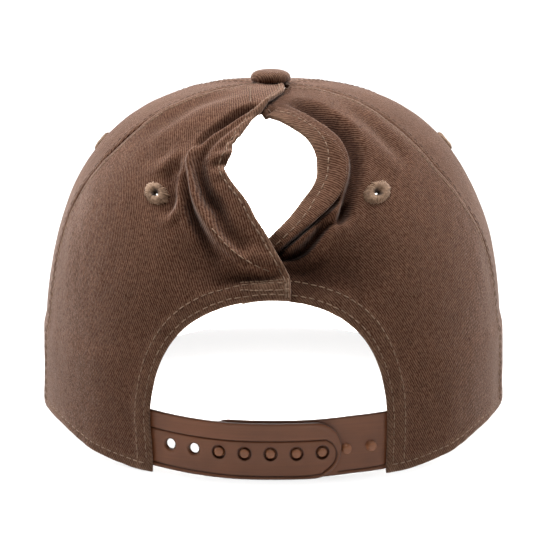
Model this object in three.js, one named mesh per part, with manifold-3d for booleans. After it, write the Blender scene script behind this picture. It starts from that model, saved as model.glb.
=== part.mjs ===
// A five-panel cap with a slit for a ponytail at the back and a snap strap under it.
// Millimetres. +Z up, +Y towards the peak, +X to the wearer's right. The rim stands on z = 0.
import * as THREE from 'three';
import { mergeVertices } from 'three/addons/utils/BufferGeometryUtils.js';
import Module from 'manifold-3d';

const wasm = await Module();
wasm.setup();

// Driving dimensions.
const CROWN = {
  halfWidth: 91,
  toBack: 91, // crown centre to the rim at centre back
  toFront: 97, // crown centre to the rim at centre front
  height: 136.1, // floor to apex
  length: 188, // floor to apex, measured up the cloth
  apexGap: 4.5, // cloth left open round the apex for the button's stem
};
const CLOTH = 1.2; // wall of one panel
const SEAM_GAP = 0.35; // between two panels at a seam
// Where one back panel lies over the other, it steps out by lift and the lower one in. The steps
// fade from near to far, in mm across, and from clear to seam, in degrees round the apex.
const OVERLAP = { lift: 0.8, near: 12, far: 22, clear: 46, seam: 66 };
const BAND_BULGE = 1; // the sweatband pushes the panels out by this
// The opening over the strap. Its two feet are drawn in by pull, in degrees, below pullHeight.
const ARCH = {
  height: 64.8,
  power: 3.7,
  left: { halfAngle: 30.9, pull: 0.9 },
  right: { halfAngle: 28.2, pull: 0.4 },
  pullHeight: 24,
};
const BUTTON = { radius: 8, height: 5, seat: 1.15, edge: 0.9, stem: 2.6, stemDepth: 3 };
const EYELET = { radius: 4.6, bore: 1.5, tube: 2, hole: 2.4, height: 1.1, gap: 0.35 };
const STRAP = {
  thickness: 1.3,
  depth: 1.6, // crown surface to the hole strap's outer face
  gap: 0.35, // hole strap to peg strap
  roundEnd: 10, // length of the rounded tip
  roundness: 0.92,
  snapHeight: 10, // above the lower edge
  firstHole: -25.5, // azimuth in degrees
  pitch: 9.85,
  holeRadius: 2.4,
  pegRadius: 1.75,
  holes: { from: -38, to: 16.5, top: 21.5, count: 7 },
  pegs: { from: 37, to: -17.3, top: 22.2, first: 2, count: 7, length: 2, hidden: 18, level: 28 },
  tuck: 1.2, // the sewn ends' lower edge over the rim's height
};
const SWEATBAND = {
  height: 36,
  thickness: 1.2,
  foot: 0.5, // above the rim
  end: 32.5, // azimuth of its ends, in degrees
  behindStrap: { depth: 3.3, until: 41 },
  settled: { depth: 1.8, from: 50 },
};
const PEAK = {
  halfWidth: 88,
  length: 70,
  thickness: 3,
  arch: 17.2, // underside at the centre line, with the side edges on the floor
  droop: 0.15, // share of that height lost from the rim to the front edge
  halfAngle: 57, // of the rim that it is sewn to, in degrees
  widest: 22, // crown front to the widest line, backwards
  tipTurn: 99, // turn of the outline from the front to each tip, in degrees
  tipTaper: 0.45, // share of its width that the peak loses at each tip
  power: 2.3, // squareness of the outline
  gap: 0.4,
};
const COLOUR = { cloth: 0x634739, lining: 0xe4e2dd, plastic: 0x6c4635, thread: 0x8f6a4e };

// The crown's outline at the centre back, the sides and the centre front: a straight wall,
// then a dome with the given squareness.
const PROFILE = {
  back: { wall: 25, power: 2.15 },
  side: { wall: 19, power: 2.7 },
  front: { wall: 36.5, power: 2.56 },
};

// Tables of [azimuth from centre back in degrees, height of the rim].
const RIM = [[0, 0], [29, 0], [35, 0.2], [39, 1], [43.5, 2.1], [48, 3.3], [52, 4.8], [57, 6.8], [63, 8.4],
  [70, 9.6], [85, 10], [105, 8], [123, 4.8], [150, 12.4], [180, 17.6]];

// Table of [azimuth from centre back in degrees, towards +X, height of the strap's lower edge].
const STRAP_LIFT = [[-40, 3.6], [-29, 1.9], [-18, 0.6], [-8, 0], [8, 0], [18, 0.5], [29, 1.4], [40, 2.6]];

// Tables of [height up the cloth, azimuth from centre back in degrees].
const BACK_SEAM = [[0, 77], [40, 76], [62, 74.5], [86, 73], [108, 70], [135, 66], [188, 66]];
const FRONT_SEAM = [[0, 124], [188, 122]];

// Edges and folds of the back panels, as [across, up]: across is mm round the cloth from centre
// back, towards +X, and up is mm up the cloth.
const LEFT_EDGE = [[3.9, 183.5], [4.5, 176.3], [4.2, 170.8], [2.5, 165.5], [-1.5, 155], [-3.2, 147.5],
  [-7.6, 142], [-9.6, 136.6], [-12, 131.2], [-14.6, 125.5], [-16.1, 121.2], [-18.4, 115.8], [-17.6, 111.2],
  [-14.4, 107], [-11.4, 103.2], [-8.8, 99.2], [-6.9, 95.2], [-4.6, 91.6], [-2.4, 88.1], [0.7, 82.5],
  [4, 76.8], [6.2, 71.9], [6.4, 64.5]];
const RIGHT_EDGE = [[-3.9, 183.5], [-6.2, 174.9], [-8.3, 165.4], [-8.3, 158], [-6.3, 151.6], [-2.4, 145.6],
  [1.9, 141.5], [6.6, 135.5], [10.6, 130], [13.6, 124.9], [15.8, 119.8], [16.5, 115.2], [16.2, 110.6],
  [14.2, 106.4], [11.5, 102.8], [8.7, 99.2], [5.2, 95.2], [1.5, 91.6], [-1.4, 88.9], [-5.8, 84.4],
  [-10.3, 76], [-12.3, 63.5]];

// Each fold: its height (negative for a valley), its width on the side of the opening and on the
// side away from it, and its line.
const LEFT_FOLDS = [
  { height: 3.2, near: 11, far: 8, line: [[-9.1, 150.1], [-16.9, 140.7], [-24.1, 131.2], [-30.2, 123.4],
    [-33.2, 114], [-32.4, 104.9], [-29.5, 99.1], [-25.4, 92.8], [-20.7, 87.2], [-13.3, 80.8]] },
  { height: -1.6, near: 7, far: 7, line: [[-20.3, 132.1], [-28.6, 120.8], [-29.8, 113.6], [-28.1, 105.5],
    [-24.6, 98.5], [-20, 92.4], [-12.3, 87.2]] },
  { height: -1.6, near: 6.5, far: 9, line: [[-36.3, 117], [-37, 107.1], [-34.6, 97.7], [-29.8, 90],
    [-23.8, 83.9], [-16.9, 79.2]] },
  { height: 1.5, near: 8, far: 8, line: [[-12.8, 139.9], [-29.1, 132.7], [-44.9, 119.5], [-53.9, 105.7]] },
];
const RIGHT_FOLDS = [
  { height: 3.6, near: 12, far: 7.5, line: [[7.6, 148], [12.1, 141.5], [17.9, 133.6], [23.9, 125.1],
    [27.3, 119.1], [28.4, 113.8], [27.7, 107.5], [26.1, 102.8], [21.3, 97.9], [15.4, 92.9], [8.2, 86.8]] },
  { height: -1.8, near: 6.5, far: 9, line: [[15.5, 144.8], [23.4, 134.6], [30.9, 123.6], [33.8, 113.3],
    [33, 105.2], [30.1, 98.2]] },
  { height: 2.6, near: 4, far: 4, line: [[7.9, 83.4], [13.5, 85.4], [18, 89.5], [22.4, 95.2],
    [26.2, 101.1]] },
  { height: -2, near: 3.5, far: 3.5, line: [[9.2, 80.9], [15.1, 83.2], [19.3, 87.5], [24.4, 94.7]] },
  { height: 1.6, near: 4, far: 8, line: [[9.9, 78.7], [15.7, 80.3], [20.6, 83.6], [26.6, 89.7],
    [32.6, 95.2]] },
  { height: 1.2, near: 8, far: 8, line: [[18.4, 146.1], [31.3, 135.1], [46.8, 119.7], [58.1, 104.8]] },
];
const FOLD_FADE = 7; // length over which a fold rises from either end

const EYELETS = [
  { name: 'eyelet_back_left', across: -47.7, up: 99.1 },
  { name: 'eyelet_back_right', across: 41.2, up: 100.4 },
  { name: 'eyelet_side_left', across: -120, up: 105.5 },
  { name: 'eyelet_side_right', across: 120, up: 105.5 },
];

const rad = THREE.MathUtils.degToRad;
const deg = THREE.MathUtils.radToDeg;
const { lerp } = THREE.MathUtils;
const ramp = (x, from, to) => {
  const t = THREE.MathUtils.clamp((x - from) / (to - from), 0, 1);
  return t * t * (3 - 2 * t);
};

// A smooth curve through a table of [x, y] rows.
function follow(table, x) {
  const last = table.length - 2;
  const i = Math.min(last, Math.max(0, table.findIndex(([to]) => to >= x) - 1));
  const slope = (k) => {
    const [a, b] = [table[Math.max(k - 1, 0)], table[Math.min(k + 1, last + 1)]];
    return (b[1] - a[1]) / (b[0] - a[0]);
  };
  const [[x0, y0], [x1, y1]] = [table[i], table[i + 1]];
  const t = THREE.MathUtils.clamp((x - x0) / (x1 - x0), 0, 1);
  const bend = t * (1 - t) * (x1 - x0);
  return lerp(y0, y1, t * t * (3 - 2 * t)) + bend * ((1 - t) * slope(i) - t * slope(i + 1));
}

// The crown's surface. Azimuth is in radians from centre back, positive towards +X.
const fromBack = (azimuth) => Math.abs(Math.atan2(Math.sin(azimuth), Math.cos(azimuth)));

function profileAt(azimuth) {
  const [c, s] = [Math.cos(azimuth), Math.sin(azimuth)];
  const end = c > 0 ? PROFILE.back : PROFILE.front;
  return {
    wall: lerp(end.wall, PROFILE.side.wall, s * s),
    power: lerp(end.power, PROFILE.side.power, s * s),
    reach: 1 / Math.hypot(s / CROWN.halfWidth, c / (c > 0 ? CROWN.toBack : CROWN.toFront)),
  };
}

function crownRadius(azimuth, up) {
  const { wall, power, reach } = profileAt(azimuth);
  const turn = THREE.MathUtils.clamp((up - wall) / (CROWN.length - wall), 0, 1) * Math.PI / 2;
  const [c, s] = [Math.cos(turn), Math.sin(turn)];
  const size = (c ** power + s ** power) ** (-1 / power);
  const bulge = BAND_BULGE * ramp(up, 44, 38) * ramp(fromBack(azimuth), rad(35), rad(50));
  return {
    radius: reach * size * c + bulge,
    height: up < wall ? up : wall + (CROWN.height - wall) * size * s,
  };
}

function crownSkin(azimuth, up) {
  const { radius, height } = crownRadius(azimuth, up);
  return new THREE.Vector3(radius * Math.sin(azimuth), -radius * Math.cos(azimuth), height);
}

function crownNormal(azimuth, up) {
  const step = 1e-3;
  const round = crownSkin(azimuth + step, up).sub(crownSkin(azimuth - step, up));
  const rise = crownSkin(azimuth, up + step).sub(crownSkin(azimuth, up - step));
  return round.cross(rise).normalize();
}

function crownPoint(azimuth, up, out) {
  return crownSkin(azimuth, up).addScaledVector(crownNormal(azimuth, up), out);
}

function azimuthOf(across, up) {
  let azimuth = 0;
  for (let i = 0; i < 6; i += 1) azimuth = across / crownRadius(azimuth, up).radius;
  return azimuth;
}

const rimHeight = (azimuth) => Math.max(0, follow(RIM, deg(fromBack(azimuth))));

// Height up the cloth of a point that lies a share of the way from the rim to the apex.
const upFromRim = (azimuth, above) => above + rimHeight(azimuth) * (1 - above / CROWN.length);

// Folds.
const drawn = (line, count) => new THREE.SplineCurve(line.map(([x, y]) => new THREE.Vector2(x, y)))
  .getSpacedPoints(count);

function prepared(folds, side) {
  return folds.map((fold) => {
    const points = drawn(fold.line, 24);
    return { ...fold, side, points, step: points[0].distanceTo(points[1]) };
  });
}

// Height of one fold at a point of the cloth.
function foldHeight({ height, near, far, side, points, step }, across, up) {
  const spot = new THREE.Vector2(across, up);
  let [best, along, width] = [Infinity, 0, near];
  for (let i = 0; i + 1 < points.length; i += 1) {
    const run = points[i + 1].clone().sub(points[i]);
    const offset = spot.clone().sub(points[i]);
    const t = THREE.MathUtils.clamp(offset.dot(run) / run.lengthSq(), 0, 1);
    const distance = offset.distanceTo(run.clone().multiplyScalar(t));
    if (distance < best) {
      best = distance;
      along = (i + t) * step;
      width = run.cross(offset) * side < 0 ? near : far;
    }
  }
  const length = (points.length - 1) * step;
  const fade = ramp(Math.min(along, length - along), 0, FOLD_FADE);
  return best < width ? height * fade * (1 - (best / width) ** 2) ** 2 : 0;
}

// How far a back panel lies out of the crown's own surface: its step at the overlap, and its folds.
function backLift(side, folds) {
  return (azimuth, up) => {
    const across = azimuth * crownRadius(azimuth, up).radius;
    const step = -side * OVERLAP.lift
      * ramp(across * side, OVERLAP.far, OVERLAP.near)
      * ramp(deg(azimuth) * side, OVERLAP.seam, OVERLAP.clear);
    return folds.reduce((sum, fold) => sum + foldHeight(fold, across, up), step);
  };
}
const LEFT_LIFT = backLift(-1, prepared(LEFT_FOLDS, -1));
const RIGHT_LIFT = backLift(1, prepared(RIGHT_FOLDS, 1));

// A closed wall from a grid of outer points and the matching grid of inner points.
function wallGeometry(outer, inner) {
  const [rows, cols] = [outer.length, outer[0].length];
  const at = (layer, i, j) => (layer * rows + i) * cols + j;
  const faces = [];
  const quad = (a, b, c, d) => faces.push(a, b, c, a, c, d);
  for (let i = 0; i + 1 < rows; i += 1) {
    for (let j = 0; j + 1 < cols; j += 1) {
      quad(at(0, i, j), at(0, i, j + 1), at(0, i + 1, j + 1), at(0, i + 1, j));
      quad(at(1, i, j), at(1, i + 1, j), at(1, i + 1, j + 1), at(1, i, j + 1));
    }
    quad(at(0, i, 0), at(0, i + 1, 0), at(1, i + 1, 0), at(1, i, 0));
    quad(at(0, i, cols - 1), at(1, i, cols - 1), at(1, i + 1, cols - 1), at(0, i + 1, cols - 1));
  }
  for (let j = 0; j + 1 < cols; j += 1) {
    quad(at(0, 0, j), at(1, 0, j), at(1, 0, j + 1), at(0, 0, j + 1));
    quad(at(0, rows - 1, j), at(0, rows - 1, j + 1), at(1, rows - 1, j + 1), at(1, rows - 1, j));
  }
  const geometry = new THREE.BufferGeometry().setFromPoints([...outer.flat(), ...inner.flat()]);
  geometry.setIndex(facesOut(outer, inner) ? faces : faces.reverse());
  geometry.computeVertexNormals();
  return geometry;
}

// Whether rows and columns run so that the grid's faces look away from the inner points.
function facesOut(outer, inner) {
  const [i, j] = [outer.length >> 1, outer[0].length >> 1];
  const alongRow = outer[i][j].clone().sub(outer[i][j - 1]);
  const alongColumn = outer[i][j].clone().sub(outer[i - 1][j]);
  return alongRow.cross(alongColumn).dot(outer[i][j].clone().sub(inner[i][j])) > 0;
}

// A wall on the crown, from a grid of [azimuth, up, out] and its thickness.
function crownWall(grid, thickness) {
  const outer = grid.map((row) => row.map(([azimuth, up, out]) => crownPoint(azimuth, up, out)));
  const inner = grid.map((row) => row.map(([azimuth, up, out]) => crownPoint(azimuth, up, out - thickness)));
  return wallGeometry(outer, inner);
}

// Joining and cutting.
function solidOf(geometry) {
  const bare = geometry.clone();
  bare.deleteAttribute('normal');
  bare.deleteAttribute('uv');
  const merged = mergeVertices(bare, 1e-5);
  return new wasm.Manifold(new wasm.Mesh({
    numProp: 3,
    vertProperties: merged.attributes.position.array,
    triVerts: Uint32Array.from(merged.index.array),
  }));
}

function geometryOf(solid) {
  const { vertProperties, triVerts } = solid.getMesh();
  const geometry = new THREE.BufferGeometry();
  geometry.setAttribute('position', new THREE.BufferAttribute(vertProperties, 3));
  geometry.setIndex(new THREE.BufferAttribute(triVerts, 1));
  geometry.computeVertexNormals();
  return geometry;
}

// A round bar whose axis passes through a point along a direction, from one depth to another.
function bar(point, direction, radius, from, to) {
  const turn = new THREE.Quaternion().setFromUnitVectors(new THREE.Vector3(0, 1, 0), direction);
  return new THREE.CylinderGeometry(radius, radius, to - from, 12)
    .translate(0, (from + to) / 2, 0)
    .applyQuaternion(turn)
    .translate(...point);
}

function piece(name, geometry, colour, roughness = 0.9) {
  const mesh = new THREE.Mesh(geometry, new THREE.MeshStandardMaterial({ color: colour, roughness }));
  mesh.name = name;
  return mesh;
}

// Panels.
const TOP = CROWN.length - CROWN.apexGap;

// Half the seam gap, as an azimuth.
const halfGap = (azimuth, up) => SEAM_GAP / 2 / crownRadius(azimuth, up).radius;

const seamAzimuth = (seam, above) => rad(follow(seam, above));

// A panel between two seams, each given as its azimuth at a height above the rim.
function seamPanel(from, to, cols) {
  const rows = 16;
  const grid = [];
  for (let i = 0; i <= rows; i += 1) {
    const above = lerp(TOP, 0, i / rows);
    const [start, end] = [from(above), to(above)];
    const gap = halfGap(start, above);
    const row = [];
    for (let j = 0; j <= cols; j += 1) {
      const azimuth = lerp(start + gap, end - gap, j / cols);
      row.push([azimuth, upFromRim(azimuth, above), 0]);
    }
    grid.push(row);
  }
  return crownWall(grid, CLOTH);
}

// The arch's edge from one azimuth down to its corner on the rim, as [across, up].
function archEdge(side, startAcross) {
  const { height, power, pullHeight } = ARCH;
  const { halfAngle, pull } = side < 0 ? ARCH.left : ARCH.right;
  const line = [];
  const start = Math.asin(startAcross / CROWN.toBack / rad(halfAngle));
  for (let i = 0; i <= 60; i += 1) {
    const turn = lerp(start, side * Math.PI / 2, i / 60);
    const up = i < 60 ? height * Math.abs(Math.cos(turn)) ** (2 / power) : 0;
    const azimuth = rad(halfAngle) * Math.sin(turn) - side * rad(pull) * ramp(up, pullHeight, 4);
    line.push([azimuth * crownRadius(azimuth, up).radius, up]);
  }
  return line;
}

// A back panel: rows run from its free edge and the arch out to the side seam.
function backPanel(side, edge, lift) {
  const [edgeRows, archRows, cols] = [20, 15, 15];
  const startAcross = edge[edge.length - 1][0];
  const free = drawn(edge, edgeRows);
  const arch = drawn(archEdge(side, startAcross), archRows).slice(1);
  const shoulder = 98; // height where the row from the arch's top corner meets the seam
  const grid = [...free, ...arch].map((point, i) => {
    const above = i <= edgeRows
      ? lerp(TOP, shoulder, i / edgeRows)
      : lerp(shoulder, 0, (i - edgeRows) / archRows);
    const start = azimuthOf(point.x, point.y);
    const seam = seamAzimuth(BACK_SEAM, above);
    const end = side * (seam - halfGap(seam, above));
    const startAbove = point.y;
    const row = [];
    for (let j = 0; j <= cols; j += 1) {
      const t = (j / cols) ** 1.5;
      const azimuth = lerp(start, end, t);
      const up = upFromRim(azimuth, lerp(startAbove, above, t));
      row.push([azimuth, up, lift(azimuth, up)]);
    }
    return row;
  });
  return crownWall(grid, CLOTH);
}

// Where an eyelet sits: its point on the panel's outer face, and the way that it looks.
function eyeletSeat({ across, up }) {
  const azimuth = azimuthOf(across, up);
  const onSide = Math.abs(azimuth) > seamAzimuth(BACK_SEAM, up);
  const lift = azimuth < 0 ? LEFT_LIFT : RIGHT_LIFT;
  const point = crownPoint(azimuth, up, onSide ? 0 : lift(azimuth, up));
  return { point, normal: crownNormal(azimuth, up) };
}

function pierced(geometry, eyelet) {
  const { point, normal } = eyeletSeat(eyelet);
  return geometryOf(solidOf(geometry).subtract(solidOf(bar(point, normal, EYELET.hole, -4, 4))));
}

function eyeletRing(eyelet) {
  const { radius, bore, tube, height, gap } = EYELET;
  const foot = -CLOTH - 0.4;
  const profile = [[bore, foot], [tube, foot], [tube, gap], [radius, gap], [radius - 0.2, gap + 0.5],
    [(radius + bore) / 2, gap + height], [bore + 0.4, gap + height * 0.7], [bore, gap], [bore, foot]];
  const ring = new THREE.LatheGeometry(profile.map(([x, y]) => new THREE.Vector2(x, y)), 14);
  const mesh = piece(eyelet.name, ring, COLOUR.thread);
  const { point, normal } = eyeletSeat(eyelet);
  mesh.position.copy(point);
  mesh.quaternion.setFromUnitVectors(new THREE.Vector3(0, 1, 0), normal);
  return mesh;
}

function button() {
  const { radius, height, seat, edge, stem, stemDepth } = BUTTON;
  const profile = [[0, -stemDepth], [stem, -stemDepth], [stem, seat], [radius - edge, seat],
    [radius, seat + edge]];
  for (let i = 1; i < 6; i += 1) {
    const turn = i / 6 * Math.PI / 2;
    profile.push([radius * Math.cos(turn) ** 0.8, seat + edge + (height - edge) * Math.sin(turn)]);
  }
  profile.push([0, seat + height]);
  const points = profile.map(([x, y]) => new THREE.Vector2(x, y));
  const mesh = piece('button', new THREE.LatheGeometry(points, 24).rotateX(Math.PI / 2), COLOUR.cloth);
  mesh.position.z = CROWN.height;
  return mesh;
}

const strapLift = (azimuth) => Math.max(0, follow(STRAP_LIFT, deg(azimuth)));

// A strap stands upright along the crown's wall, from its sewn end to its round end.
// Depth is how far its outer face lies inside the crown's surface.
function strapSolid({ from, to, top }, depth) {
  const cols = 28;
  const grid = [];
  for (let i = 0; i <= cols; i += 1) {
    const azimuth = rad(lerp(to, from, (i / cols) ** 1.4));
    const fromTip = Math.abs(azimuth - rad(to)) * CROWN.toBack / STRAP.roundEnd;
    const half = fromTip < 1 ? Math.sqrt(1 - STRAP.roundness * (1 - fromTip) ** 2) : 1;
    const middle = strapLift(azimuth) + top / 2;
    const low = Math.max(middle - top / 2 * half, STRAP.tuck * rimHeight(azimuth));
    grid.push([low, middle + top / 2 * half].map((up) => [azimuth, up, -depth(azimuth)]));
  }
  return solidOf(crownWall(grid, STRAP.thickness));
}

// Azimuth of a snap, counted from the free end's first hole.
const snapAzimuth = (i) => rad(STRAP.firstHole) + i * STRAP.pitch / CROWN.toBack;

// A bar through the strap at a snap; in and out are depths inside the crown's surface.
function snapBar(i, radius, inner, outer) {
  const azimuth = snapAzimuth(i);
  const up = strapLift(azimuth) + STRAP.snapHeight;
  return solidOf(bar(crownSkin(azimuth, up), crownNormal(azimuth, up), radius, -inner, -outer));
}

function holeStrap() {
  const depth = STRAP.depth;
  let solid = strapSolid(STRAP.holes, () => depth);
  for (let i = 0; i < STRAP.holes.count; i += 1) {
    solid = solid.subtract(snapBar(i, STRAP.holeRadius, depth + 3, depth - 1));
  }
  return piece('hole_strap', geometryOf(solid), COLOUR.plastic, 0.45);
}

// The peg strap runs behind the hole strap, and comes out level with it past its end.
function pegStrap() {
  const { thickness, gap, depth, pegs } = STRAP;
  const behind = depth + thickness + gap;
  const depthAt = (azimuth) => lerp(behind, depth, ramp(deg(azimuth), pegs.hidden, pegs.level));
  let solid = strapSolid(pegs, depthAt);
  for (let i = pegs.first; i < pegs.first + pegs.count; i += 1) {
    const face = depthAt(snapAzimuth(i));
    solid = solid.add(snapBar(i, STRAP.pegRadius, face + thickness / 2, face - pegs.length));
  }
  return piece('peg_strap', geometryOf(solid), COLOUR.plastic, 0.45);
}

// The sweatband runs inside the rim from one end of the arch round the front to the other,
// and behind both straps.
function sweatband() {
  const { height, thickness, foot, end, behindStrap, settled } = SWEATBAND;
  const cols = 56;
  const grid = [];
  for (let j = 0; j <= cols; j += 1) {
    const azimuth = rad(lerp(end, 360 - end, j / cols));
    const clear = ramp(deg(fromBack(azimuth)), behindStrap.until, settled.from);
    const inside = lerp(behindStrap.depth, settled.depth, clear);
    grid.push([foot, height / 2, height].map((above) => [azimuth, upFromRim(azimuth, above), -inside]));
  }
  return piece('sweatband', crownWall(grid, thickness), COLOUR.lining);
}

// The peak: rows run from the rim out to the outline, arched across like part of a tube.
function peak() {
  const [rows, halfCols] = [6, 11];
  const { halfWidth, length, thickness, arch, droop, halfAngle, widest, power, gap } = PEAK;
  const reach = length + widest;
  const shaped = (value) => Math.sign(value) * Math.abs(value) ** (2 / power);
  const [top, under] = [[], []];
  for (let i = 0; i <= rows; i += 1) {
    top.push([]);
    under.push([]);
    for (let j = -halfCols; j <= halfCols; j += 1) {
      const azimuth = Math.PI - rad(halfAngle) * j / halfCols;
      const turn = rad(PEAK.tipTurn) * j / halfCols;
      const out = i / rows * (1 - PEAK.tipTaper * ramp(Math.abs(j), halfCols - 1, halfCols));
      const start = crownPoint(azimuth, rimHeight(azimuth), gap);
      const x = lerp(start.x, halfWidth * shaped(Math.sin(turn)), out);
      const y = lerp(start.y, CROWN.toFront - widest + reach * shaped(Math.cos(turn)), out);
      const z = arch * (1 - (x / halfWidth) ** 2) * (1 - droop * out);
      top[i].push(new THREE.Vector3(x, y, z + thickness));
      under[i].push(new THREE.Vector3(x, y, z));
    }
  }
  return piece('peak', wallGeometry(top, under), COLOUR.cloth);
}

// Assembly.
const around = (seam, side, turn = 0) => (above) => turn + side * seamAzimuth(seam, above);

const panels = {
  left_back_panel: pierced(backPanel(-1, LEFT_EDGE, LEFT_LIFT), EYELETS[0]),
  right_back_panel: pierced(backPanel(1, RIGHT_EDGE, RIGHT_LIFT), EYELETS[1]),
  left_side_panel: pierced(seamPanel(around(FRONT_SEAM, -1), around(BACK_SEAM, -1), 8), EYELETS[2]),
  right_side_panel: pierced(seamPanel(around(BACK_SEAM, 1), around(FRONT_SEAM, 1), 8), EYELETS[3]),
  front_panel: seamPanel(around(FRONT_SEAM, 1), around(FRONT_SEAM, -1, 2 * Math.PI), 16),
};

const cap = new THREE.Group();
Object.entries(panels).forEach(([name, geometry]) => cap.add(piece(name, geometry, COLOUR.cloth)));
EYELETS.forEach((eyelet) => cap.add(eyeletRing(eyelet)));
cap.add(button(), holeStrap(), pegStrap(), sweatband(), peak());

// The frame's origin is under the middle of the whole cap, on the floor.
const box = new THREE.Box3().setFromObject(cap, true);
cap.position.set(-(box.min.x + box.max.x) / 2, -(box.min.y + box.max.y) / 2, 0);

export default cap;
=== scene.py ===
# %% [markdown]
# # A washed cotton cap with a ponytail slit
#
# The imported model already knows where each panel, strap and eyelet is. Here each of them gets the shape
# and finish of the sewn thing: folded hems, stitches, gathered folds, twill. We load the model first and
# keep its box, because the dressed cap has to stay the size of the measured one.

# %% Load the cap's frame
from collections import namedtuple
import bpy
import numpy as np
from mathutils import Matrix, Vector, geometry


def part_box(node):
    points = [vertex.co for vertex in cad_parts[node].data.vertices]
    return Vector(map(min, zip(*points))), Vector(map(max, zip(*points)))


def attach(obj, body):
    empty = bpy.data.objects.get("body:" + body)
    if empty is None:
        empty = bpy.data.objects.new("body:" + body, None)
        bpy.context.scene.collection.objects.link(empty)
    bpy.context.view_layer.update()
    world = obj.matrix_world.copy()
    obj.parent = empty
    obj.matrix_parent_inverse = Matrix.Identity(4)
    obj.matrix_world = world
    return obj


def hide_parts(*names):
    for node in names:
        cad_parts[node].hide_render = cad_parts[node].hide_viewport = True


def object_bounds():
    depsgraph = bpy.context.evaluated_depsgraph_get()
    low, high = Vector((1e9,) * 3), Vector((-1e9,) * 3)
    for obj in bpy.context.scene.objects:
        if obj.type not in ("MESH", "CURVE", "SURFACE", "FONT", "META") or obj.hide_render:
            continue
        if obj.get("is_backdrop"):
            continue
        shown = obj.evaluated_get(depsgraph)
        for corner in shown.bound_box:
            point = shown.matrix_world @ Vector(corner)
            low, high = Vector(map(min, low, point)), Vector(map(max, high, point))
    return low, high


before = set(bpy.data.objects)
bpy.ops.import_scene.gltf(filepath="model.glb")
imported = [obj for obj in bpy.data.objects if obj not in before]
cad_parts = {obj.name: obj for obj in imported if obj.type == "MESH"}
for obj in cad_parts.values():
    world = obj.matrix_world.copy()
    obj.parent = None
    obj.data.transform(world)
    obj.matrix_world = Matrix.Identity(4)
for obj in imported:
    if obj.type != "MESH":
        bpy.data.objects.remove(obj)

cad_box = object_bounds()
print("the cap measures", [round(side * 1000, 1) for side in cad_box[1] - cad_box[0]], "mm")

# %% [markdown]
# ## Where the camera stands
#
# The photograph is taken from behind the cap and a little above it, with a long lens, so that the straps
# look nearly flat. Everything on a cap is easiest to place from the middle of the crown, right under the
# button, so the camera looks at a point on that line. We work in millimetres and turn them into
# Blender's metres only when a mesh or a lamp is made.

# %% Camera behind the cap
MM = 0.001
PICTURE, FOCAL = 548, 2500  # pixels along a side, and the lens's focal length in them
AIM_HEIGHT, TILT = 58.4, np.radians(12)  # mm up the middle line, and how far the camera looks down
SHIFT = (0.6, 1.5)  # pixels that the picture's middle lies off the lens's axis
button_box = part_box("button")
crown_middle = (button_box[0] + button_box[1]) / 2
CENTRE = np.array([crown_middle.x, crown_middle.y, 0]) / MM


def put_in_scene(name, data):
    made = bpy.data.objects.new(name, data)
    bpy.context.scene.collection.objects.link(made)
    return made


look_at = Vector(CENTRE * MM) + Vector((0, 0, AIM_HEIGHT * MM))
camera_data = bpy.data.cameras.new("camera")
camera_data.lens = FOCAL / PICTURE * camera_data.sensor_width
camera_data.shift_x, camera_data.shift_y = (shift / PICTURE for shift in SHIFT)
camera_data.clip_end = 20
camera = put_in_scene("camera", camera_data)
camera.location = look_at + Vector((0, -np.cos(TILT), np.sin(TILT)))
camera.rotation_euler = (np.pi / 2 - TILT, 0, 0)
bpy.context.scene.camera = camera
print("the crown's middle is at", CENTRE.round(1), "mm, and the lens is", round(camera_data.lens), "mm")

# %% [markdown]
# ## The crown's shape as a formula
#
# A crown is a straight wall round the head that closes over into a dome. We could sculpt it, but a formula
# lets every hem, stitch and fold find its own place on it. A spot on the cloth has two numbers: its
# azimuth, which is the angle round the head from the back, and how far up the cloth it lies. The outline
# of the dome is a superellipse, squarer at the front, where the panel stands up over the forehead.

# %% Smooth steps and curves through tables
def ease(t):
    return t * t * (3 - 2 * t)


def ramp(x, start, end):
    """0 before start, 1 after end, and a smooth step in between."""
    return ease(np.clip((x - start) / (end - start), 0, 1))


def bell(x, width, middle=0.0):
    """1 at the middle, and falling away smoothly over about one width."""
    return np.exp(-((x - middle) / width)**2)


def round_edge(gap, radius):
    """How far the face of something with a round edge has dropped, at a distance from that edge."""
    return radius * (1 - np.sqrt(1 - np.clip(1 - gap / radius, 0, 1)**2))


def follow(table, x):
    """A smooth curve through a table of (x, y) rows."""
    xs, ys = np.array(table, float).T
    slopes = np.concatenate([[(ys[1] - ys[0]) / (xs[1] - xs[0])],
                             (ys[2:] - ys[:-2]) / (xs[2:] - xs[:-2]),
                             [(ys[-1] - ys[-2]) / (xs[-1] - xs[-2])]])
    i = np.clip(np.searchsorted(xs, x) - 1, 0, len(xs) - 2)
    width = xs[i + 1] - xs[i]
    t = np.clip((x - xs[i]) / width, 0, 1)
    blend = ease(t)
    bend = t * (1 - t) * width * ((1 - t) * slopes[i] - t * slopes[i + 1])
    return ys[i] * (1 - blend) + ys[i + 1] * blend + bend


def smooth_line(points, spacing=0.8):
    """A curve through the points, as a row of spots about one spacing apart."""
    p = np.array(points, float)
    p = np.vstack([p[0], p, p[-1]])
    t = np.linspace(0, 1, 24, endpoint=False)[:, None]
    spans = []
    for a, b, c, d in zip(p[:-3], p[1:-2], p[2:-1], p[3:]):
        spans.append(0.5 * (2 * b + (c - a) * t + (2 * a - 5 * b + 4 * c - d) * t**2
                            + (3 * b - a - 3 * c + d) * t**3))
    return spaced(np.vstack([*spans, p[-1:]]), spacing)


def distance_along(line):
    return np.concatenate([[0], np.cumsum(np.linalg.norm(np.diff(line, axis=0), axis=1))])


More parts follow.
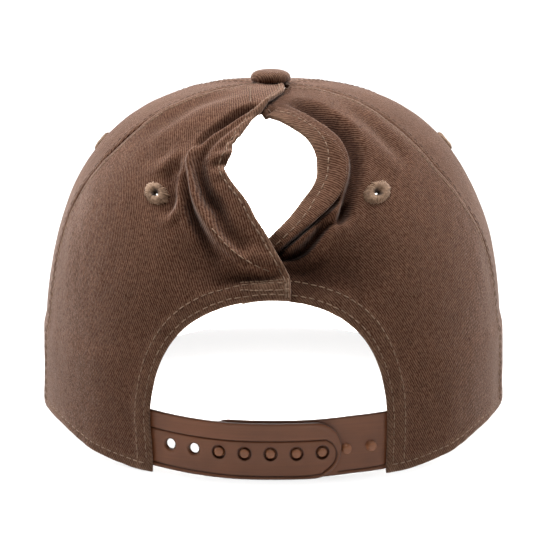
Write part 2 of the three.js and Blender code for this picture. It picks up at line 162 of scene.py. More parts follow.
def spaced(line, spacing):
    """The same line with its points evenly apart."""
    reach = distance_along(line)
    at = np.linspace(0, reach[-1], max(2, round(reach[-1] / spacing) + 1))
    return np.stack([np.interp(at, reach, line[:, k]) for k in range(line.shape[1])], axis=1)


def straight(a, b, spacing=0.5):
    return spaced(np.array([a, b], float), spacing)


def circle(angle):
    return np.stack([np.cos(angle), np.sin(angle)], axis=-1)


def full_turn(count):
    return np.linspace(0, 2 * np.pi, count, endpoint=False)


# %% The crown
LENGTH, HEIGHT = 188.0, 136.1  # from the floor to the apex, up the cloth and straight up
WALL, FRONT = 91, 97  # from the middle to the wall at the sides and back, and at the front
RIM = [(0, 0), (29, 0), (35, 0.2), (39, 1), (43.5, 2.1), (48, 3.3), (52, 4.8), (57, 6.8), (63, 8.4),
       (70, 9.6), (85, 10), (105, 8), (123, 4.8), (150, 12.4), (180, 17.6)]  # degrees, height of the rim


def unit(vectors):
    return vectors / np.linalg.norm(vectors, axis=-1, keepdims=True)


def from_back(azimuth):
    return np.abs(np.arctan2(np.sin(azimuth), np.cos(azimuth)))


def crown_size(azimuth, up):
    """The crown's radius and height at a spot on the cloth."""
    c, s = np.cos(azimuth), np.sin(azimuth)
    back = c > 0
    # How high the straight wall is and how square the dome: at the back, at the front, and at the sides.
    wall = np.where(back, 25, 36.5) * c**2 + 19 * s**2
    power = np.where(back, 2.15, 2.56) * c**2 + 2.7 * s**2
    reach = 1 / np.hypot(s / WALL, c / np.where(back, WALL, FRONT))
    turn = np.clip((up - wall) / (LENGTH - wall), 0, 1) * np.pi / 2
    size = (np.clip(np.cos(turn), 0, 1)**power + np.sin(turn)**power)**(-1 / power)
    bulge = ramp(up, 44, 38) * ramp(np.degrees(from_back(azimuth)), 35, 50)
    height = np.where(up < wall, up, wall + (HEIGHT - wall) * size * np.sin(turn))
    return reach * size * np.cos(turn) + bulge, height


def crown_skin(azimuth, up):
    radius, height = crown_size(azimuth, up)
    return np.stack([radius * np.sin(azimuth), -radius * np.cos(azimuth), height], axis=-1) + CENTRE


def crown_normal(azimuth, up):
    step = 1e-3
    around = crown_skin(azimuth + step, up) - crown_skin(azimuth - step, up)
    rise = crown_skin(azimuth, up + step) - crown_skin(azimuth, up - step)
    return unit(np.cross(around, rise))


def above_skin(azimuth, up, out):
    """Points some way out from the crown's plain skin."""
    return crown_skin(azimuth, up) + crown_normal(azimuth, up) * out[..., None]


def azimuth_of(across, up, turn=0.0):
    """The azimuth of a spot that lies that many millimetres round the cloth from a turn."""
    azimuth = np.full(np.shape(across), turn)
    for _ in range(10):
        azimuth = turn + across / crown_size(azimuth, up)[0]
    return azimuth


def rim_height(azimuth):
    return np.maximum(0, follow(RIM, np.degrees(from_back(azimuth))))


def up_from_rim(azimuth, above):
    return above + rim_height(azimuth) * (1 - above / LENGTH)


print("round the head:", round(distance_along(crown_skin(np.linspace(0, 2 * np.pi, 400), 20.0))[-1]), "mm")

# %% [markdown]
# ## Cutting cloth to a shape
#
# Each panel is cut flat and then sewn. We do the same: a panel is an outline on the unrolled cloth, filled
# with triangles, and only then is each spot moved onto the crown. A plain grid would be simpler, but its
# squares wouldn't follow the slit and the arch. So we scatter spots in rows along every edge, where the
# cloth has to bend over in a round hem, and evenly elsewhere, and let Blender's Delaunay triangulation
# join them.

# %% Distances on flat cloth
def nearest(line, spots):
    """For each spot, its distance to a line, how far along the line that is, and which side it is on."""
    a, run = line[:-1], np.diff(line, axis=0)
    length = np.maximum(np.linalg.norm(run, axis=1), 1e-9)
    start = np.concatenate([[0], np.cumsum(length)[:-1]])
    best, along, side = (np.empty(len(spots)) for _ in range(3))
    for low in range(0, len(spots), 4000):
        part = slice(low, low + 4000)
        offset = spots[part, None, :] - a
        t = np.clip((offset * run).sum(-1) / length**2, 0, 1)
        gap = np.linalg.norm(offset - t[..., None] * run, axis=-1)
        k = gap.argmin(axis=1)
        rows = np.arange(len(k))
        best[part] = gap[rows, k]
        along[part] = start[k] + t[rows, k] * length[k]
        side[part] = np.sign(run[k, 0] * offset[rows, k, 1] - run[k, 1] * offset[rows, k, 0])
    return best, along, side


def inside(loop, spots):
    """Whether each spot lies inside a closed loop."""
    x, y = spots.T
    found = np.zeros(len(spots), bool)
    for (x0, y0), (x1, y1) in zip(loop, np.roll(loop, -1, axis=0)):
        if y0 != y1:
            found ^= ((y0 > y) != (y1 > y)) & (x < (x1 - x0) * (y - y0) / (y1 - y0) + x0)
    return found


def closed(loop):
    return np.vstack([loop, loop[:1]])


def within(loops, spots):
    """Whether each spot lies inside the first loop and outside the others."""
    kept = inside(loops[0], spots)
    for hole in loops[1:]:
        kept &= ~inside(hole, spots)
    return kept


def edge_distance(loops, spots):
    return np.min([nearest(closed(loop), spots)[0] for loop in loops], axis=0)


def to_the_right(run):
    """Unit vectors to the right of each step of a line."""
    return unit(np.stack([run[:, 1], -run[:, 0]], axis=1))


# %% Rows along the edges, and triangles between
EDGE_ROWS = (0.12, 0.32, 0.6, 1.0, 1.5, 2.1, 2.8)  # mm in from an edge


def edge_rows(loop, rows):
    """Spots beside a closed loop, on both of its sides."""
    across = to_the_right(np.roll(loop, -1, axis=0) - np.roll(loop, 1, axis=0))
    spots = np.vstack([loop + side * row * across for row in rows for side in (-1, 1)])
    return spots[edge_distance([loop], spots) > 0.96 * np.repeat(rows, len(loop) * 2)]


def crease_rows(line, offsets):
    """Spots in close rows along a line. A positive offset is to its left."""
    across = to_the_right(np.gradient(line, axis=0))
    return np.vstack([line - offset * across for offset in offsets])


def doubled_areas(flat, triangles):
    """Twice each triangle's area, below zero where it runs clockwise."""
    a, b, c = (flat[triangles[:, k]] for k in range(3))
    return np.cross(b - a, c - a)


def honeycomb(loop, spacing):
    low, high = loop.min(axis=0), loop.max(axis=0)
    rows = np.arange(low[1], high[1], spacing * 0.866)
    x = np.arange(low[0], high[0], spacing)
    spots = np.stack(np.meshgrid(x, rows), axis=-1)
    spots[1::2, :, 0] += spacing / 2
    return spots.reshape(-1, 2)


def fill(loops, spacing, rows=EDGE_ROWS, finer=None, creases=()):
    """Triangles inside the first loop and outside the others. finer is a line with fine cloth near it,
    as (line, reach, spacing), and each crease is a line with the offsets of its own rows of spots."""
    spots = honeycomb(loops[0], spacing)
    if finer:
        line, reach, fine = finer
        dense = honeycomb(loops[0], fine)
        spots = np.vstack([spots[nearest(line, spots)[0] > reach], dense[nearest(line, dense)[0] <= reach]])
    clear = edge_distance(loops, spots) > rows[-1] + 0.4
    spots = np.vstack([spots[clear], *[edge_rows(loop, rows) for loop in loops]])
    for line, offsets in creases:
        beside = crease_rows(line, offsets)
        gap, _, which = nearest(line, spots)
        free = (which * gap < min(offsets) - 0.2) | (which * gap > max(offsets) + 0.2)
        spots = np.vstack([spots[free], beside[edge_distance(loops, beside) > 0.1]])
    spots = np.vstack([*loops, spots[within(loops, spots)]])
    edges, start = [], 0
    for loop in loops:
        edges += [(start + i, start + (i + 1) % len(loop)) for i in range(len(loop))]
        start += len(loop)
    made = geometry.delaunay_2d_cdt([Vector(spot) for spot in spots], edges, [], 0, 1e-5)
    flat, triangles = np.array([tuple(v) for v in made[0]]), np.array(made[2])
    triangles = triangles[within(loops, flat[triangles].mean(axis=1))]
    turned = doubled_areas(flat, triangles) < 0
    triangles[turned] = triangles[turned][:, ::-1]
    return flat, triangles


# %% [markdown]
# ## From flat cut to a piece with two faces
#
# Cloth has a face and a back. Each cut is laid twice, once at the outer face and once a cloth's thickness
# further in, and a narrow strip along every edge joins the two. The hems are round because both faces
# bend towards each other near an edge. We also store three things for the materials to use: the cloth's
# own coordinates, so that the weave follows the cut, how worn each spot is, and painted shade for how deep in
# a fold it lies.

# %% Make a mesh piece
WALE_ANGLE = np.radians(-33)  # of the twill's slanting ridges, from the straight grain


def new_piece(name, points, faces):
    mesh = bpy.data.meshes.new(name)
    mesh.from_pydata(points * MM, [], faces)
    mesh.polygons.foreach_set("use_smooth", [True] * len(mesh.polygons))
    piece = put_in_scene(name, mesh)
    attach(piece, "root")
    return piece


def store(piece, wear, painted_shade):
    """Keeps for each point how worn it is, and the painted shade that darkens folds, grooves, holes and
    edges, for the finishes.
    """
    for name, values in (("wear", wear), ("painted_shade", painted_shade)):
        stored = piece.data.attributes.new(name, "FLOAT", "POINT")
        values = np.clip(values, 0, 1) + np.zeros(len(piece.data.vertices))
        stored.data.foreach_set("value", values.astype(np.float32))


def lay_weave(piece, flat, wear, painted_shade=0.0):
    """Stores the cloth's own coordinates in millimetres, turned along its wales, how worn it is, and the
    painted shade for how deep in a fold it lies."""
    mesh = piece.data
    c, s = np.cos(WALE_ANGLE), np.sin(WALE_ANGLE)
    grain = np.stack([flat[:, 0] * c - flat[:, 1] * s, flat[:, 0] * s + flat[:, 1] * c], axis=1)
    corners = np.empty(len(mesh.loops), int)
    mesh.loops.foreach_get("vertex_index", corners)
    layer = mesh.uv_layers.new(name="weave")
    layer.data.foreach_set("uv", grain[corners].astype(np.float32).ravel())
    store(piece, wear, painted_shade)


def two_faced(flat, triangles, outer, inner):
    """Points and faces of a closed piece from its outer and inner face."""
    n = len(flat)
    sides = np.vstack([triangles[:, [0, 1]], triangles[:, [1, 2]], triangles[:, [2, 0]]])
    code = sides[:, 0].astype(np.int64) * n + sides[:, 1]
    back = sides[:, 1].astype(np.int64) * n + sides[:, 0]
    border = sides[~np.isin(code, back)]
    strip = np.stack([border[:, 1], border[:, 0], border[:, 0] + n, border[:, 1] + n], axis=1)
    faces = triangles.tolist() + (triangles[:, ::-1] + n).tolist() + strip.tolist()
    return np.vstack([outer, inner]), faces


# %% Irregular cloth
def uneven(x, y, seed):
    """Smooth random swells from -1 to 1, each about one unit across."""
    lattice = np.random.default_rng(seed).uniform(-1, 1, (61, 61))
    i, j = np.floor(x).astype(int), np.floor(y).astype(int)
    u, v = x - i, y - j
    u, v = ease(u), ease(v)
    corner = lambda a, b: lattice[(i + a) % 61, (j + b) % 61]
    return ((corner(0, 0) * (1 - u) + corner(1, 0) * u) * (1 - v)
            + (corner(0, 1) * (1 - u) + corner(1, 1) * u) * v)


# %% [markdown]
# ## A sewn panel
#
# A panel knows its outline, its folds, and what is sewn along each edge. From those it can say, for any
# spot, how far the cloth stands out from the plain crown there. A hem is cloth folded over, so it is
# thicker. Each row of stitches pulls it down in a narrow valley, and the cloth between puckers. A seam
# sinks in, with a ridge on both sides. Having all of this in one place pays off later: a thread asks the
# same panel where its surface is, and so it lies in its valley.

# %% Sewn panels
CLOTH, SUNK = 1.2, 0.16  # mm: how thick it is, and how far thread pulls it down
# DEEPEST sets the painted shade: a fold's valley this deep gets the full darkening.
DEEPEST = 3.2  # mm in from the crown, where a fold's valley is at its darkest
EYELET_HOLE, SEAM_ROW = 1.3, 2.1  # mm: a hole's radius, and how far from a seam its stitches run

# A hem or seam has a line on the flat cut. A hem's rows are the distances of its stitches from that line,
# and proud and tucked say how far its folded cloth stands out and in.
Hem = namedtuple("Hem", "line width proud tucked rows pucker seed rubbed", defaults=[0.3])
Seam = namedtuple("Seam", "line row seed")


class SewnPanel:
    """A panel as a flat cut. turn is the azimuth that its coordinates start from, and middle the azimuth
    of its straight grain. sewn has the lines to stitch beside, and how far, and swell gives the folds."""

    def __init__(self, outline, turn, hems, seams, sewn, eyelet=None, swell=None, middle=0.0):
        self.outline, self.turn, self.hems, self.seams, self.sewn = outline, turn, hems, seams, sewn
        self.swell, self.middle, self.holes = swell, middle, []
        if eyelet:
            azimuth = azimuth_of(*(np.array([value]) for value in eyelet))
            self.eyelet = spots_of(azimuth, np.array([eyelet[1]]), turn)[0]
            self.holes = [self.eyelet + EYELET_HOLE * circle(full_turn(20))]

    def relief(self, spots):
        """Height of the outer face, height of the inner face, wear, and the spots shifted by folds."""
        height, moved = self.swell(spots) if self.swell else (np.zeros(len(spots)), spots)
        height = height + 0.35 * uneven(spots[:, 0] / 17, spots[:, 1] / 23, 5)
        height += 0.1 * uneven(spots[:, 0] / 5, spots[:, 1] / 8, 6)
        thick = np.full(len(spots), CLOTH)
        wear = np.zeros(len(spots))
        rounding = np.full(len(spots), 1e3)
        for hem in self.hems:
            gap, along, _ = nearest(hem.line, spots)
            folded = ramp(gap, hem.width + 0.9, hem.width - 0.2)
            near = ramp(gap, hem.width + 8, hem.width - 2)
            height += hem.proud * folded
            height += hem.pucker * near * uneven(along / 3.4, gap / 7, hem.seed)
            thick += (hem.proud + hem.tucked) * folded
            for row in hem.rows:
                height -= SUNK * bell(gap, 0.65, row)
            wear += hem.rubbed * folded * (0.6 + 0.4 * uneven(along / 5, gap / 3, 3))
            if hem.rows:
                wear += 0.85 * np.exp(-gap / 0.8)
                rounding = np.minimum(rounding, gap)
        for seam in self.seams:
            gap, along, _ = nearest(seam.line, spots)
            height += 0.2 * ramp(gap, 5, 2) - 0.4 * bell(gap, 0.6)
            height += 0.08 * ramp(gap, 14, 3) * uneven(along / 4.1, gap / 9, seam.seed)
            height -= 0.08 * bell(gap, 0.6, seam.row)
            wear += 0.25 * bell(gap, 0.9, 1.4)
        fall = round_edge(rounding, thick * 0.47)
        return height - fall, height - thick + fall, wear, moved

    def place(self, spots, out=0.0, inner=False):
        """Where spots of the flat cut are on the cap, a little way out from the cloth."""
        outer_height, inner_height, _, moved = self.relief(spots)
        height = inner_height if inner else outer_height
        azimuth = azimuth_of(moved[:, 0], moved[:, 1], self.turn)
        return above_skin(azimuth, moved[:, 1], height + out)

    def facing(self, spots):
        """The way that the cloth's outer face looks at each spot."""
        step = 0.15
        right = self.place(spots + [step, 0]) - self.place(spots - [step, 0])
        rise = self.place(spots + [0, step]) - self.place(spots - [0, step])
        return unit(np.cross(right, rise))

    def sew(self, name, node, spacing, finer=None, creases=()):
        """Makes the cloth's piece and puts it in the place of a node."""
        flat, triangles = fill([self.outline, *self.holes], spacing, finer=finer, creases=creases)
        outer, inner = self.place(flat), self.place(flat, inner=True)
        points, faces = two_faced(flat, triangles, outer, inner)
        self.piece = new_piece(name, points, faces)
        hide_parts(node)
        worn = self.relief(flat)[2]
        radius = crown_size(azimuth_of(*flat.T, self.turn), flat[:, 1])[0]
        grain = flat - np.stack([self.middle * radius, 0 * radius], axis=1)
        # Painted shade: the deeper the folds sink the cloth below the crown, the darker its colour, also
        # where the lower panel is held under the lapping one.
        depth = np.clip(-self.swell(flat)[0] / DEEPEST, 0, 1) if self.swell else 0 * worn
        lay_weave(self.piece, np.vstack([grain, grain]), np.tile(worn, 2), np.tile(depth, 2))
        self.triangles, self.flat_size = len(triangles), np.ptp(flat, axis=0)
        self.flat_area = abs(doubled_areas(flat, triangles)).sum() / 2
        print(name, len(faces), "faces,", "cut", self.flat_size.round(), "mm")


def spots_of(azimuth, up, turn=0.0):
    """The flat cut's coordinates of spots on the crown."""
    return np.stack([(azimuth - turn) * crown_size(azimuth, up)[0], up + 0 * azimuth], axis=1)


# %% [markdown]
# ## The two back panels
#
# These make the cap what it is. They part in a slit for the ponytail, and cross over below and above it.
# Their free edges are drawn as curves through points, from the top down, in millimetres across from the
# centre back and up the cloth. Then come the folds: the cloth round the slit is gathered, so it stands
# in a few strong ridges with deep valleys beside them. Each fold is a line of (across, up, strength) with
# a height, a width on the side of the slit and on the far side, and maybe a lean, which tips its crest
# over the valley behind. A cloth simulation would find folds of its own, but not these ones, so they are
# drawn. At the crossing the left panel laps over the right one, which is held down just under it.

# %% Free edges and the arch
TOP, EDGE_STEP = 183.5, 0.9  # mm: where the panels end under the button, and between spots of their edges
LEFT_EDGE = [(3.9, 183.5), (4.5, 176.3), (4.2, 170.8), (2.5, 165.5), (-1, 156.5), (-4, 149.5), (-7.1, 144.4),
             (-9.4, 138.4), (-11.2, 134.2), (-12.6, 130.8), (-13.2, 128.8), (-15.1, 126.4), (-15.6, 124.5),
             (-15.5, 121.5), (-16, 119.5), (-17.7, 117.6), (-18.7, 115.9), (-18.7, 114.3), (-17.9, 112.4),
             (-16.7, 110.3), (-14.4, 107), (-11.4, 103.2), (-8.8, 99.2), (-6.9, 95.2), (-4.6, 91.6),
             (-2.4, 88.1), (0.7, 82.5), (4, 76.8), (6.2, 71.9), (6.4, 64.5)]
RIGHT_EDGE = [(-3.9, 183.5), (-6.2, 175.9), (-8.3, 167.4), (-8.5, 160), (-6.9, 153.8), (-3, 147.8),
              (1.5, 142.7), (6.4, 136), (10.6, 130), (13.6, 124.9), (15.8, 119.8), (16.5, 115.2),
              (16.2, 110.6), (14.2, 106.4), (11.5, 102.8), (8.7, 99.2), (5.2, 95.2), (1.5, 91.6),
              (-1.4, 88.9), (-5.8, 84.4), (-10.3, 76), (-12.3, 63.5)]
LEFT_SEAM = [(0, 77), (40, 76), (62, 75), (82, 74.5), (96, 70.5), (108, 68), (135, 65), (188, 64)]
RIGHT_SEAM = [(0, 77), (40, 76), (55, 75), (70, 71.8), (88, 65.5), (108, 61), (135, 60), (188, 60)]
FRONT_SEAM = [(0, 124), (188, 122)]  # height above the rim, azimuth in degrees
ARCH_HEIGHT, ARCH_POWER = 64.8, 3.7
ARCH_FOOT = {-1: (30.9, 0.9), 1: (28.2, 0.4)}  # side: half its angle, and how far its foot is drawn in


def arch_line(side, start_across):
    """The arch's edge, from the panels' overlap down to its corner on the rim."""
    half_angle, pull = np.radians(ARCH_FOOT[side])
    turns = np.linspace(np.arcsin(start_across / WALL / half_angle), side * np.pi / 2, 240)
    up = ARCH_HEIGHT * np.abs(np.cos(turns))**(2 / ARCH_POWER)
    up[-1] = 0
    azimuth = half_angle * np.sin(turns) - side * pull * ramp(up, 24, 4)
    return spaced(spots_of(azimuth, up), 0.8)


def rim_line(start, end, turn=0.0):
    azimuth = np.linspace(start, end, 200)
    return spaced(spots_of(azimuth, rim_height(azimuth), turn), EDGE_STEP)


def seam_line(seam, side, turn=0.0):
    """A seam from the rim to the top. side is 1 or -1, to mirror it."""
    above = np.linspace(0, TOP, 300)
    azimuth = side * np.radians(follow(seam, above))
    azimuth = np.where(turn * side < 0, azimuth + 2 * np.pi * np.sign(turn), azimuth)
    return spaced(spots_of(azimuth, up_from_rim(azimuth, above), turn), EDGE_STEP)


# %% The gathered folds
# In mm, each fold's height, its widths towards the slit and away from it, its lean, and then its line.
LEFT_FOLDS = [
    (2.8, 2.8, 2.5, 0, [(4.1, 166.5, 0.3), (1, 159.6, 0.5), (-2.1, 154.4, 0.7), (-6.2, 149.4, 0.85),
     (-10.6, 144.4, 0.95), (-16.7, 138, 1), (-22.5, 131.2, 1), (-28.2, 122.9, 1), (-31.6, 117, 1),
     (-32.4, 111.8, 1), (-31.7, 106.7, 1), (-30.6, 101.6, 1), (-28.3, 96.6, 1), (-25, 91.8, 1.1),
     (-21.5, 87, 1.1), (-17.4, 82.8, 1), (-12.5, 78.8, 0.7), (-7.7, 76.5, 0.1)]),
    (0.6, 7, 7, 0, [(-9.1, 151, 0), (-16.8, 138.6, 0.8), (-28.2, 122.9, 1), (-32.4, 111.8, 1),
     (-30.6, 101.6, 1), (-25, 91.8, 1), (-17.4, 82.8, 0.6), (-10.4, 77.8, 0)]),
    (-3.7, 6, 2.8, 0, [(-4.4, 152.4, 0.3), (-9.1, 149, 0.8), (-13.7, 144, 1.1), (-18.9, 137.4, 1.2),
     (-24.1, 130.6, 1.05), (-28.2, 124, 1), (-29.8, 117.2, 0.75), (-30, 112.4, 0.85), (-29.2, 108.5, 1),
     (-27.2, 103.5, 1.1), (-24.7, 99.6, 1.15), (-21.8, 96.4, 0.9), (-19, 91.2, 0.7), (-16.4, 87.3, 0.7),
     (-12, 83, 0.6), (-8, 80, 0)]),
    (-3.8, 3, 5, 0, [(-35.4, 113.3, 0), (-34.8, 109.9, 0.5), (-34.5, 106, 0.8), (-33.9, 101.8, 0.95),
     (-32.9, 98, 1.1), (-31.3, 94.4, 1.1), (-28.8, 90, 1), (-25.5, 85.2, 0.75), (-22.2, 81, 0.45),
     (-18, 78, 0)]),
    (1.6, 3.6, 2.6, 0, [(-33.7, 120.4, 0), (-34.9, 114.2, 0.6), (-36.2, 108.7, 0.9), (-36.2, 103.5, 1),
     (-35.7, 99, 1), (-35.4, 95, 0.9), (-34, 90.3, 0.6), (-31.1, 85.7, 0.3), (-28.4, 81.9, 0)]),
    (1.2, 3, 4, 0, [(-36.1, 97.5, 0.2), (-38.1, 92.7, 1), (-41.6, 89.8, 0.7), (-46.8, 87.3, 0)]),
    (-2.2, 2.6, 6, 0, [(-38.7, 108.5, 0), (-39.7, 105.7, 0.6), (-40, 102.4, 0.9), (-39.7, 98.6, 1),
     (-40.4, 95.4, 0.9), (-41.7, 92.4, 0.4), (-43.4, 90.3, 0)]),
    (-1.6, 4, 4, 0, [(-35.3, 116.1, 0.1), (-37.7, 112.7, 0.7), (-40.1, 109.8, 0.8), (-43.3, 106.9, 0.6),
     (-46.8, 104.1, 0)]),
    (1.1, 4, 5, 0, [(-36, 120.6, 0.2), (-40.1, 114.1, 1), (-44.4, 109.9, 1), (-50.5, 106.3, 0.3)]),
    (0.6, 6, 6, 0, [(-14.3, 166.2, 0.2), (-23.6, 158.1, 0.8), (-36.2, 149.9, 1), (-45.8, 140.8, 1),
     (-52.9, 133.6, 1), (-60.6, 125.5, 0.5)]),
    (-0.8, 5, 6, 0, [(-12.5, 163.8, 0.2), (-23, 155.4, 0.8), (-31.3, 147.6, 1), (-36.6, 142.2, 1),
     (-47.2, 130.4, 0.9), (-61.3, 117.5, 0.3)]),
    (0.6, 7, 7, 0, [(-10.8, 157.9, 0.2), (-21.5, 147.4, 0.9), (-29.1, 140, 1), (-38.7, 127.4, 1),
     (-49.4, 117.4, 0.5)]),
    (-0.6, 7, 7, 0, [(-23.4, 138.6, 0.2), (-29.7, 131.3, 0.7), (-38.6, 123.4, 1), (-48, 116.1, 1),
     (-54.5, 110.5, 0.3)]),
    (-1.8, 4, 4, 0, [(-22.8, 68.7, 0), (-17.7, 71.1, 0.6), (-12.5, 72.6, 1), (-6.9, 73.3, 1), (-1.3, 73.6, 1),
     (2.1, 74.6, 0.8), (4.1, 76.8, 0)]),
    (1.5, 6, 6, 0, [(-13, 82.5, 0.3), (-7.7, 79.3, 1), (-2.7, 77.3, 1), (1.7, 76.1, 0.4)]),
    (1.4, 2.6, 2.6, 0, [(-12.9, 128.8, 1), (-16.4, 126.4, 0.8), (-20.1, 124.2, 0)]),
    (-1.7, 2, 2, 0, [(-15.6, 128, 1), (-18.3, 125.7, 0.7), (-21.3, 122, 0)]),
    (1.3, 3, 3, 0, [(-15.9, 120.4, 1), (-19.8, 119.5, 0.8), (-24.3, 117.4, 0.3)]),
    (-1.5, 2.2, 2.2, 0, [(-18.6, 117.2, 1), (-21.7, 115.6, 0.6), (-24.7, 113.6, 0)]),
    (0.9, 3, 3, 0, [(-17.7, 111.9, 0.9), (-21.7, 110.7, 0.6), (-25.8, 109.5, 0)]),
    (-1.3, 11, 11, 0, [(-42, 80, 0), (-32, 77, 0.8), (-20, 74, 1), (-8, 72, 0.9), (2, 73, 0.3)]),
]
RIGHT_FOLDS = [
    (2.8, 8, 2.2, 2.4, [(3.1, 153.4, 0.3), (7.4, 147.1, 0.7), (11.7, 139.9, 0.9), (16, 133.2, 1),
     (20.4, 127.4, 1), (24.6, 121.1, 1), (27, 115.5, 1), (27.3, 111.1, 1), (26.6, 106.6, 1), (24.8, 101.9, 1),
     (21.4, 97.9, 1), (17.5, 94.8, 1), (14.1, 92.1, 1), (10.3, 89.1, 0.9), (6.1, 85.9, 0.8), (2.7, 83, 0.5)]),
    (-4.2, 2.6, 6.5, 0, [(4.5, 159.1, 0.1), (9.2, 154.4, 0.5), (14.4, 148.2, 0.85), (19.4, 140.9, 1),
     (24.5, 133.8, 1.1), (28.9, 126.5, 1.1), (31.3, 119.3, 1), (31.7, 113.9, 1), (31, 109, 1),
     (29.8, 105.2, 1), (28.4, 101.3, 1), (27.3, 97.8, 1), (26.3, 94.5, 0.9), (24.3, 90.9, 0)]),
    (-2.4, 2.8, 3.2, 0, [(27.2, 99.7, 0), (27.6, 98.2, 0.9), (27, 95.4, 1.1), (25.3, 92.6, 0.7),
     (23.9, 89.8, 0)]),
    (-4.6, 2.4, 2.6, 0, [(25, 102.2, 0.2), (22.1, 98.3, 0.55), (18.6, 95.2, 0.75), (14.8, 92.6, 1),
     (11, 90.1, 1.15), (7.2, 87.1, 1.25), (4.3, 85, 1.2), (1, 83, 1)]),
    (2.8, 3, 3.2, 0, [(26.4, 100.5, 0), (23.8, 96.4, 0.8), (20.7, 94.5, 1), (17.2, 92.4, 1), (13.8, 89.8, 1),
     (10.7, 87.1, 1), (7.4, 84.3, 1), (4.9, 82.5, 1), (1.7, 81, 0.8)]),
    (-4.6, 2.8, 3.4, 0, [(22.7, 94.1, 0), (20.5, 92.5, 0.55), (17.6, 90, 0.9), (14.5, 86, 1.05),
     (11, 83.2, 1.15), (6.6, 81.7, 1.2), (3.1, 81.2, 1.2), (-0.2, 80.4, 1)]),
    (1.8, 2.8, 6, 0, [(24.3, 90.2, 0), (22, 88.3, 0.6), (18, 84.8, 0.9), (15, 82.2, 1), (11.6, 80.1, 1),
     (7.8, 79, 1), (4.1, 78.7, 1), (0.6, 78.1, 0.6)]),
    (-2, 4, 8, 0, [(2.5, 76.4, 0.7), (8.9, 76.4, 1), (13.7, 77.5, 0.8), (18.8, 80.2, 0.2)]),
    (1.3, 3, 5, 0, [(29.2, 98.2, 0), (28.4, 93.5, 0.7), (26.8, 89.2, 1), (23.7, 87.5, 0.5)]),
    (0.6, 6, 6, 0, [(17.8, 147.7, 0), (24.4, 140.2, 0.5), (31.1, 132.6, 0.9), (40.7, 119.8, 1),
     (48.3, 110.7, 1), (55.7, 104.8, 0.3)]),
    (-0.7, 5, 5, 0, [(30.5, 143.2, 0), (38.1, 134.3, 0.8), (45.6, 124.4, 1), (51.1, 116.7, 1),
     (55.4, 110.6, 0.5)]),
    (0.5, 5, 5, 0, [(29.2, 152.7, 0.1), (37.6, 142.6, 0.9), (43, 135.3, 1), (49.3, 126.8, 1),
     (55.9, 118.6, 1), (62.5, 110.7, 0.3)]),
    (-0.6, 5, 5, 0, [(32.2, 154.7, 0), (43.4, 144.4, 0.9), (53.1, 131.6, 1), (60.7, 122, 1),
     (67.4, 112.6, 0.4)]),
    (0.4, 5, 6, 0, [(24.4, 161.3, 0.1), (34.7, 152.5, 0.7), (48, 138.7, 1), (58.8, 127.2, 1),
     (68.4, 115.8, 0.4)]),
    (-1.5, 13, 13, 0, [(2, 82, 0.5), (10, 77, 1), (20, 76, 1), (31, 79, 0.8), (44, 86, 0)]),
    (-1.2, 12, 12, 0, [(40, 62, 0), (33, 68, 0.8), (20, 72, 1), (6, 73, 0.8)]),
]


def gathered(side, folds):
    """The height of the folds, and where they push each spot."""
    drawn = []
    for _, _, _, lean, line in folds:
        line = smooth_line(line, 1.2)
        away = -side * to_the_right(np.gradient(line[:, :2], axis=0))
        line[:, :2] -= lean * away
        drawn.append((line[:, :2], distance_along(line[:, :2]), line[:, 2], away))

    def swell(spots):
        across, up = spots.T
        height = (-side * 0.8 * ramp(across * side, 22, 12)
                  * ramp(np.degrees(azimuth_of(across, up)) * side, 66, 46))
        moved = spots.copy()
        for (tall, near, far, lean, _), (line, reach, strength, away) in zip(folds, drawn):
            widest = max(near, far)
            close = ((spots > line.min(axis=0) - widest) & (spots < line.max(axis=0) + widest)).all(axis=1)
            if not close.any():
                continue
            gap, along, which = nearest(line, spots[close])
            width = np.where(which * side > 0, far, near)
            share = np.clip(1 - (gap / width)**2, 0, 1)**2 * np.interp(along, reach, strength)
            height[close] += tall * share
            if lean:
                push = np.stack([np.interp(along, reach, away[:, k]) for k in (0, 1)], axis=1)
                moved[close] += push * (lean * share)[:, None]
        return height, moved

    return swell


# %% Cut and sew the back panels
# Each hem's width, how far it stands out and in, and its rows. Each side of the slit has its own.
RIM_HEM = (5.0, 0.2, 0.2, (3.2,))
FREE_HEM = {-1: (2.3, 0.35, 0.45, (2.2,)), 1: (3.4, 0.0, 0.7, (3.2,))}
ARCH_HEM = {-1: (6.7, 0.4, 0.3, (2.1, 6.1)), 1: (8.0, 0.4, 0.3, (2.4, 7.4))}
OVERLAP = 18  # mm from the lapping panel's free edge, within which the lower panel stays under it
SPACING, FINE_REACH, FINE_SPACING = 1.5, 34, 0.72  # mm between spots, and closer together near the slit
GRAIN_TURN = np.radians(38)  # from the centre back to a back panel's straight grain


def tucked_under(over, swell):
    """Folds that stay below the inner face of the panel that laps over them."""
    def lower(spots):
        height, moved = swell(spots)
        gap = nearest(over.free, spots)[0]
        near = gap < OVERLAP
        if near.any():
            beside = spots[near]
            gap = np.where(inside(over.outline, beside), 0, gap[near])
            height[near] = np.minimum(height[near], over.relief(beside)[1] - 0.9 + 0.4 * gap)
        return height, moved

    return lower


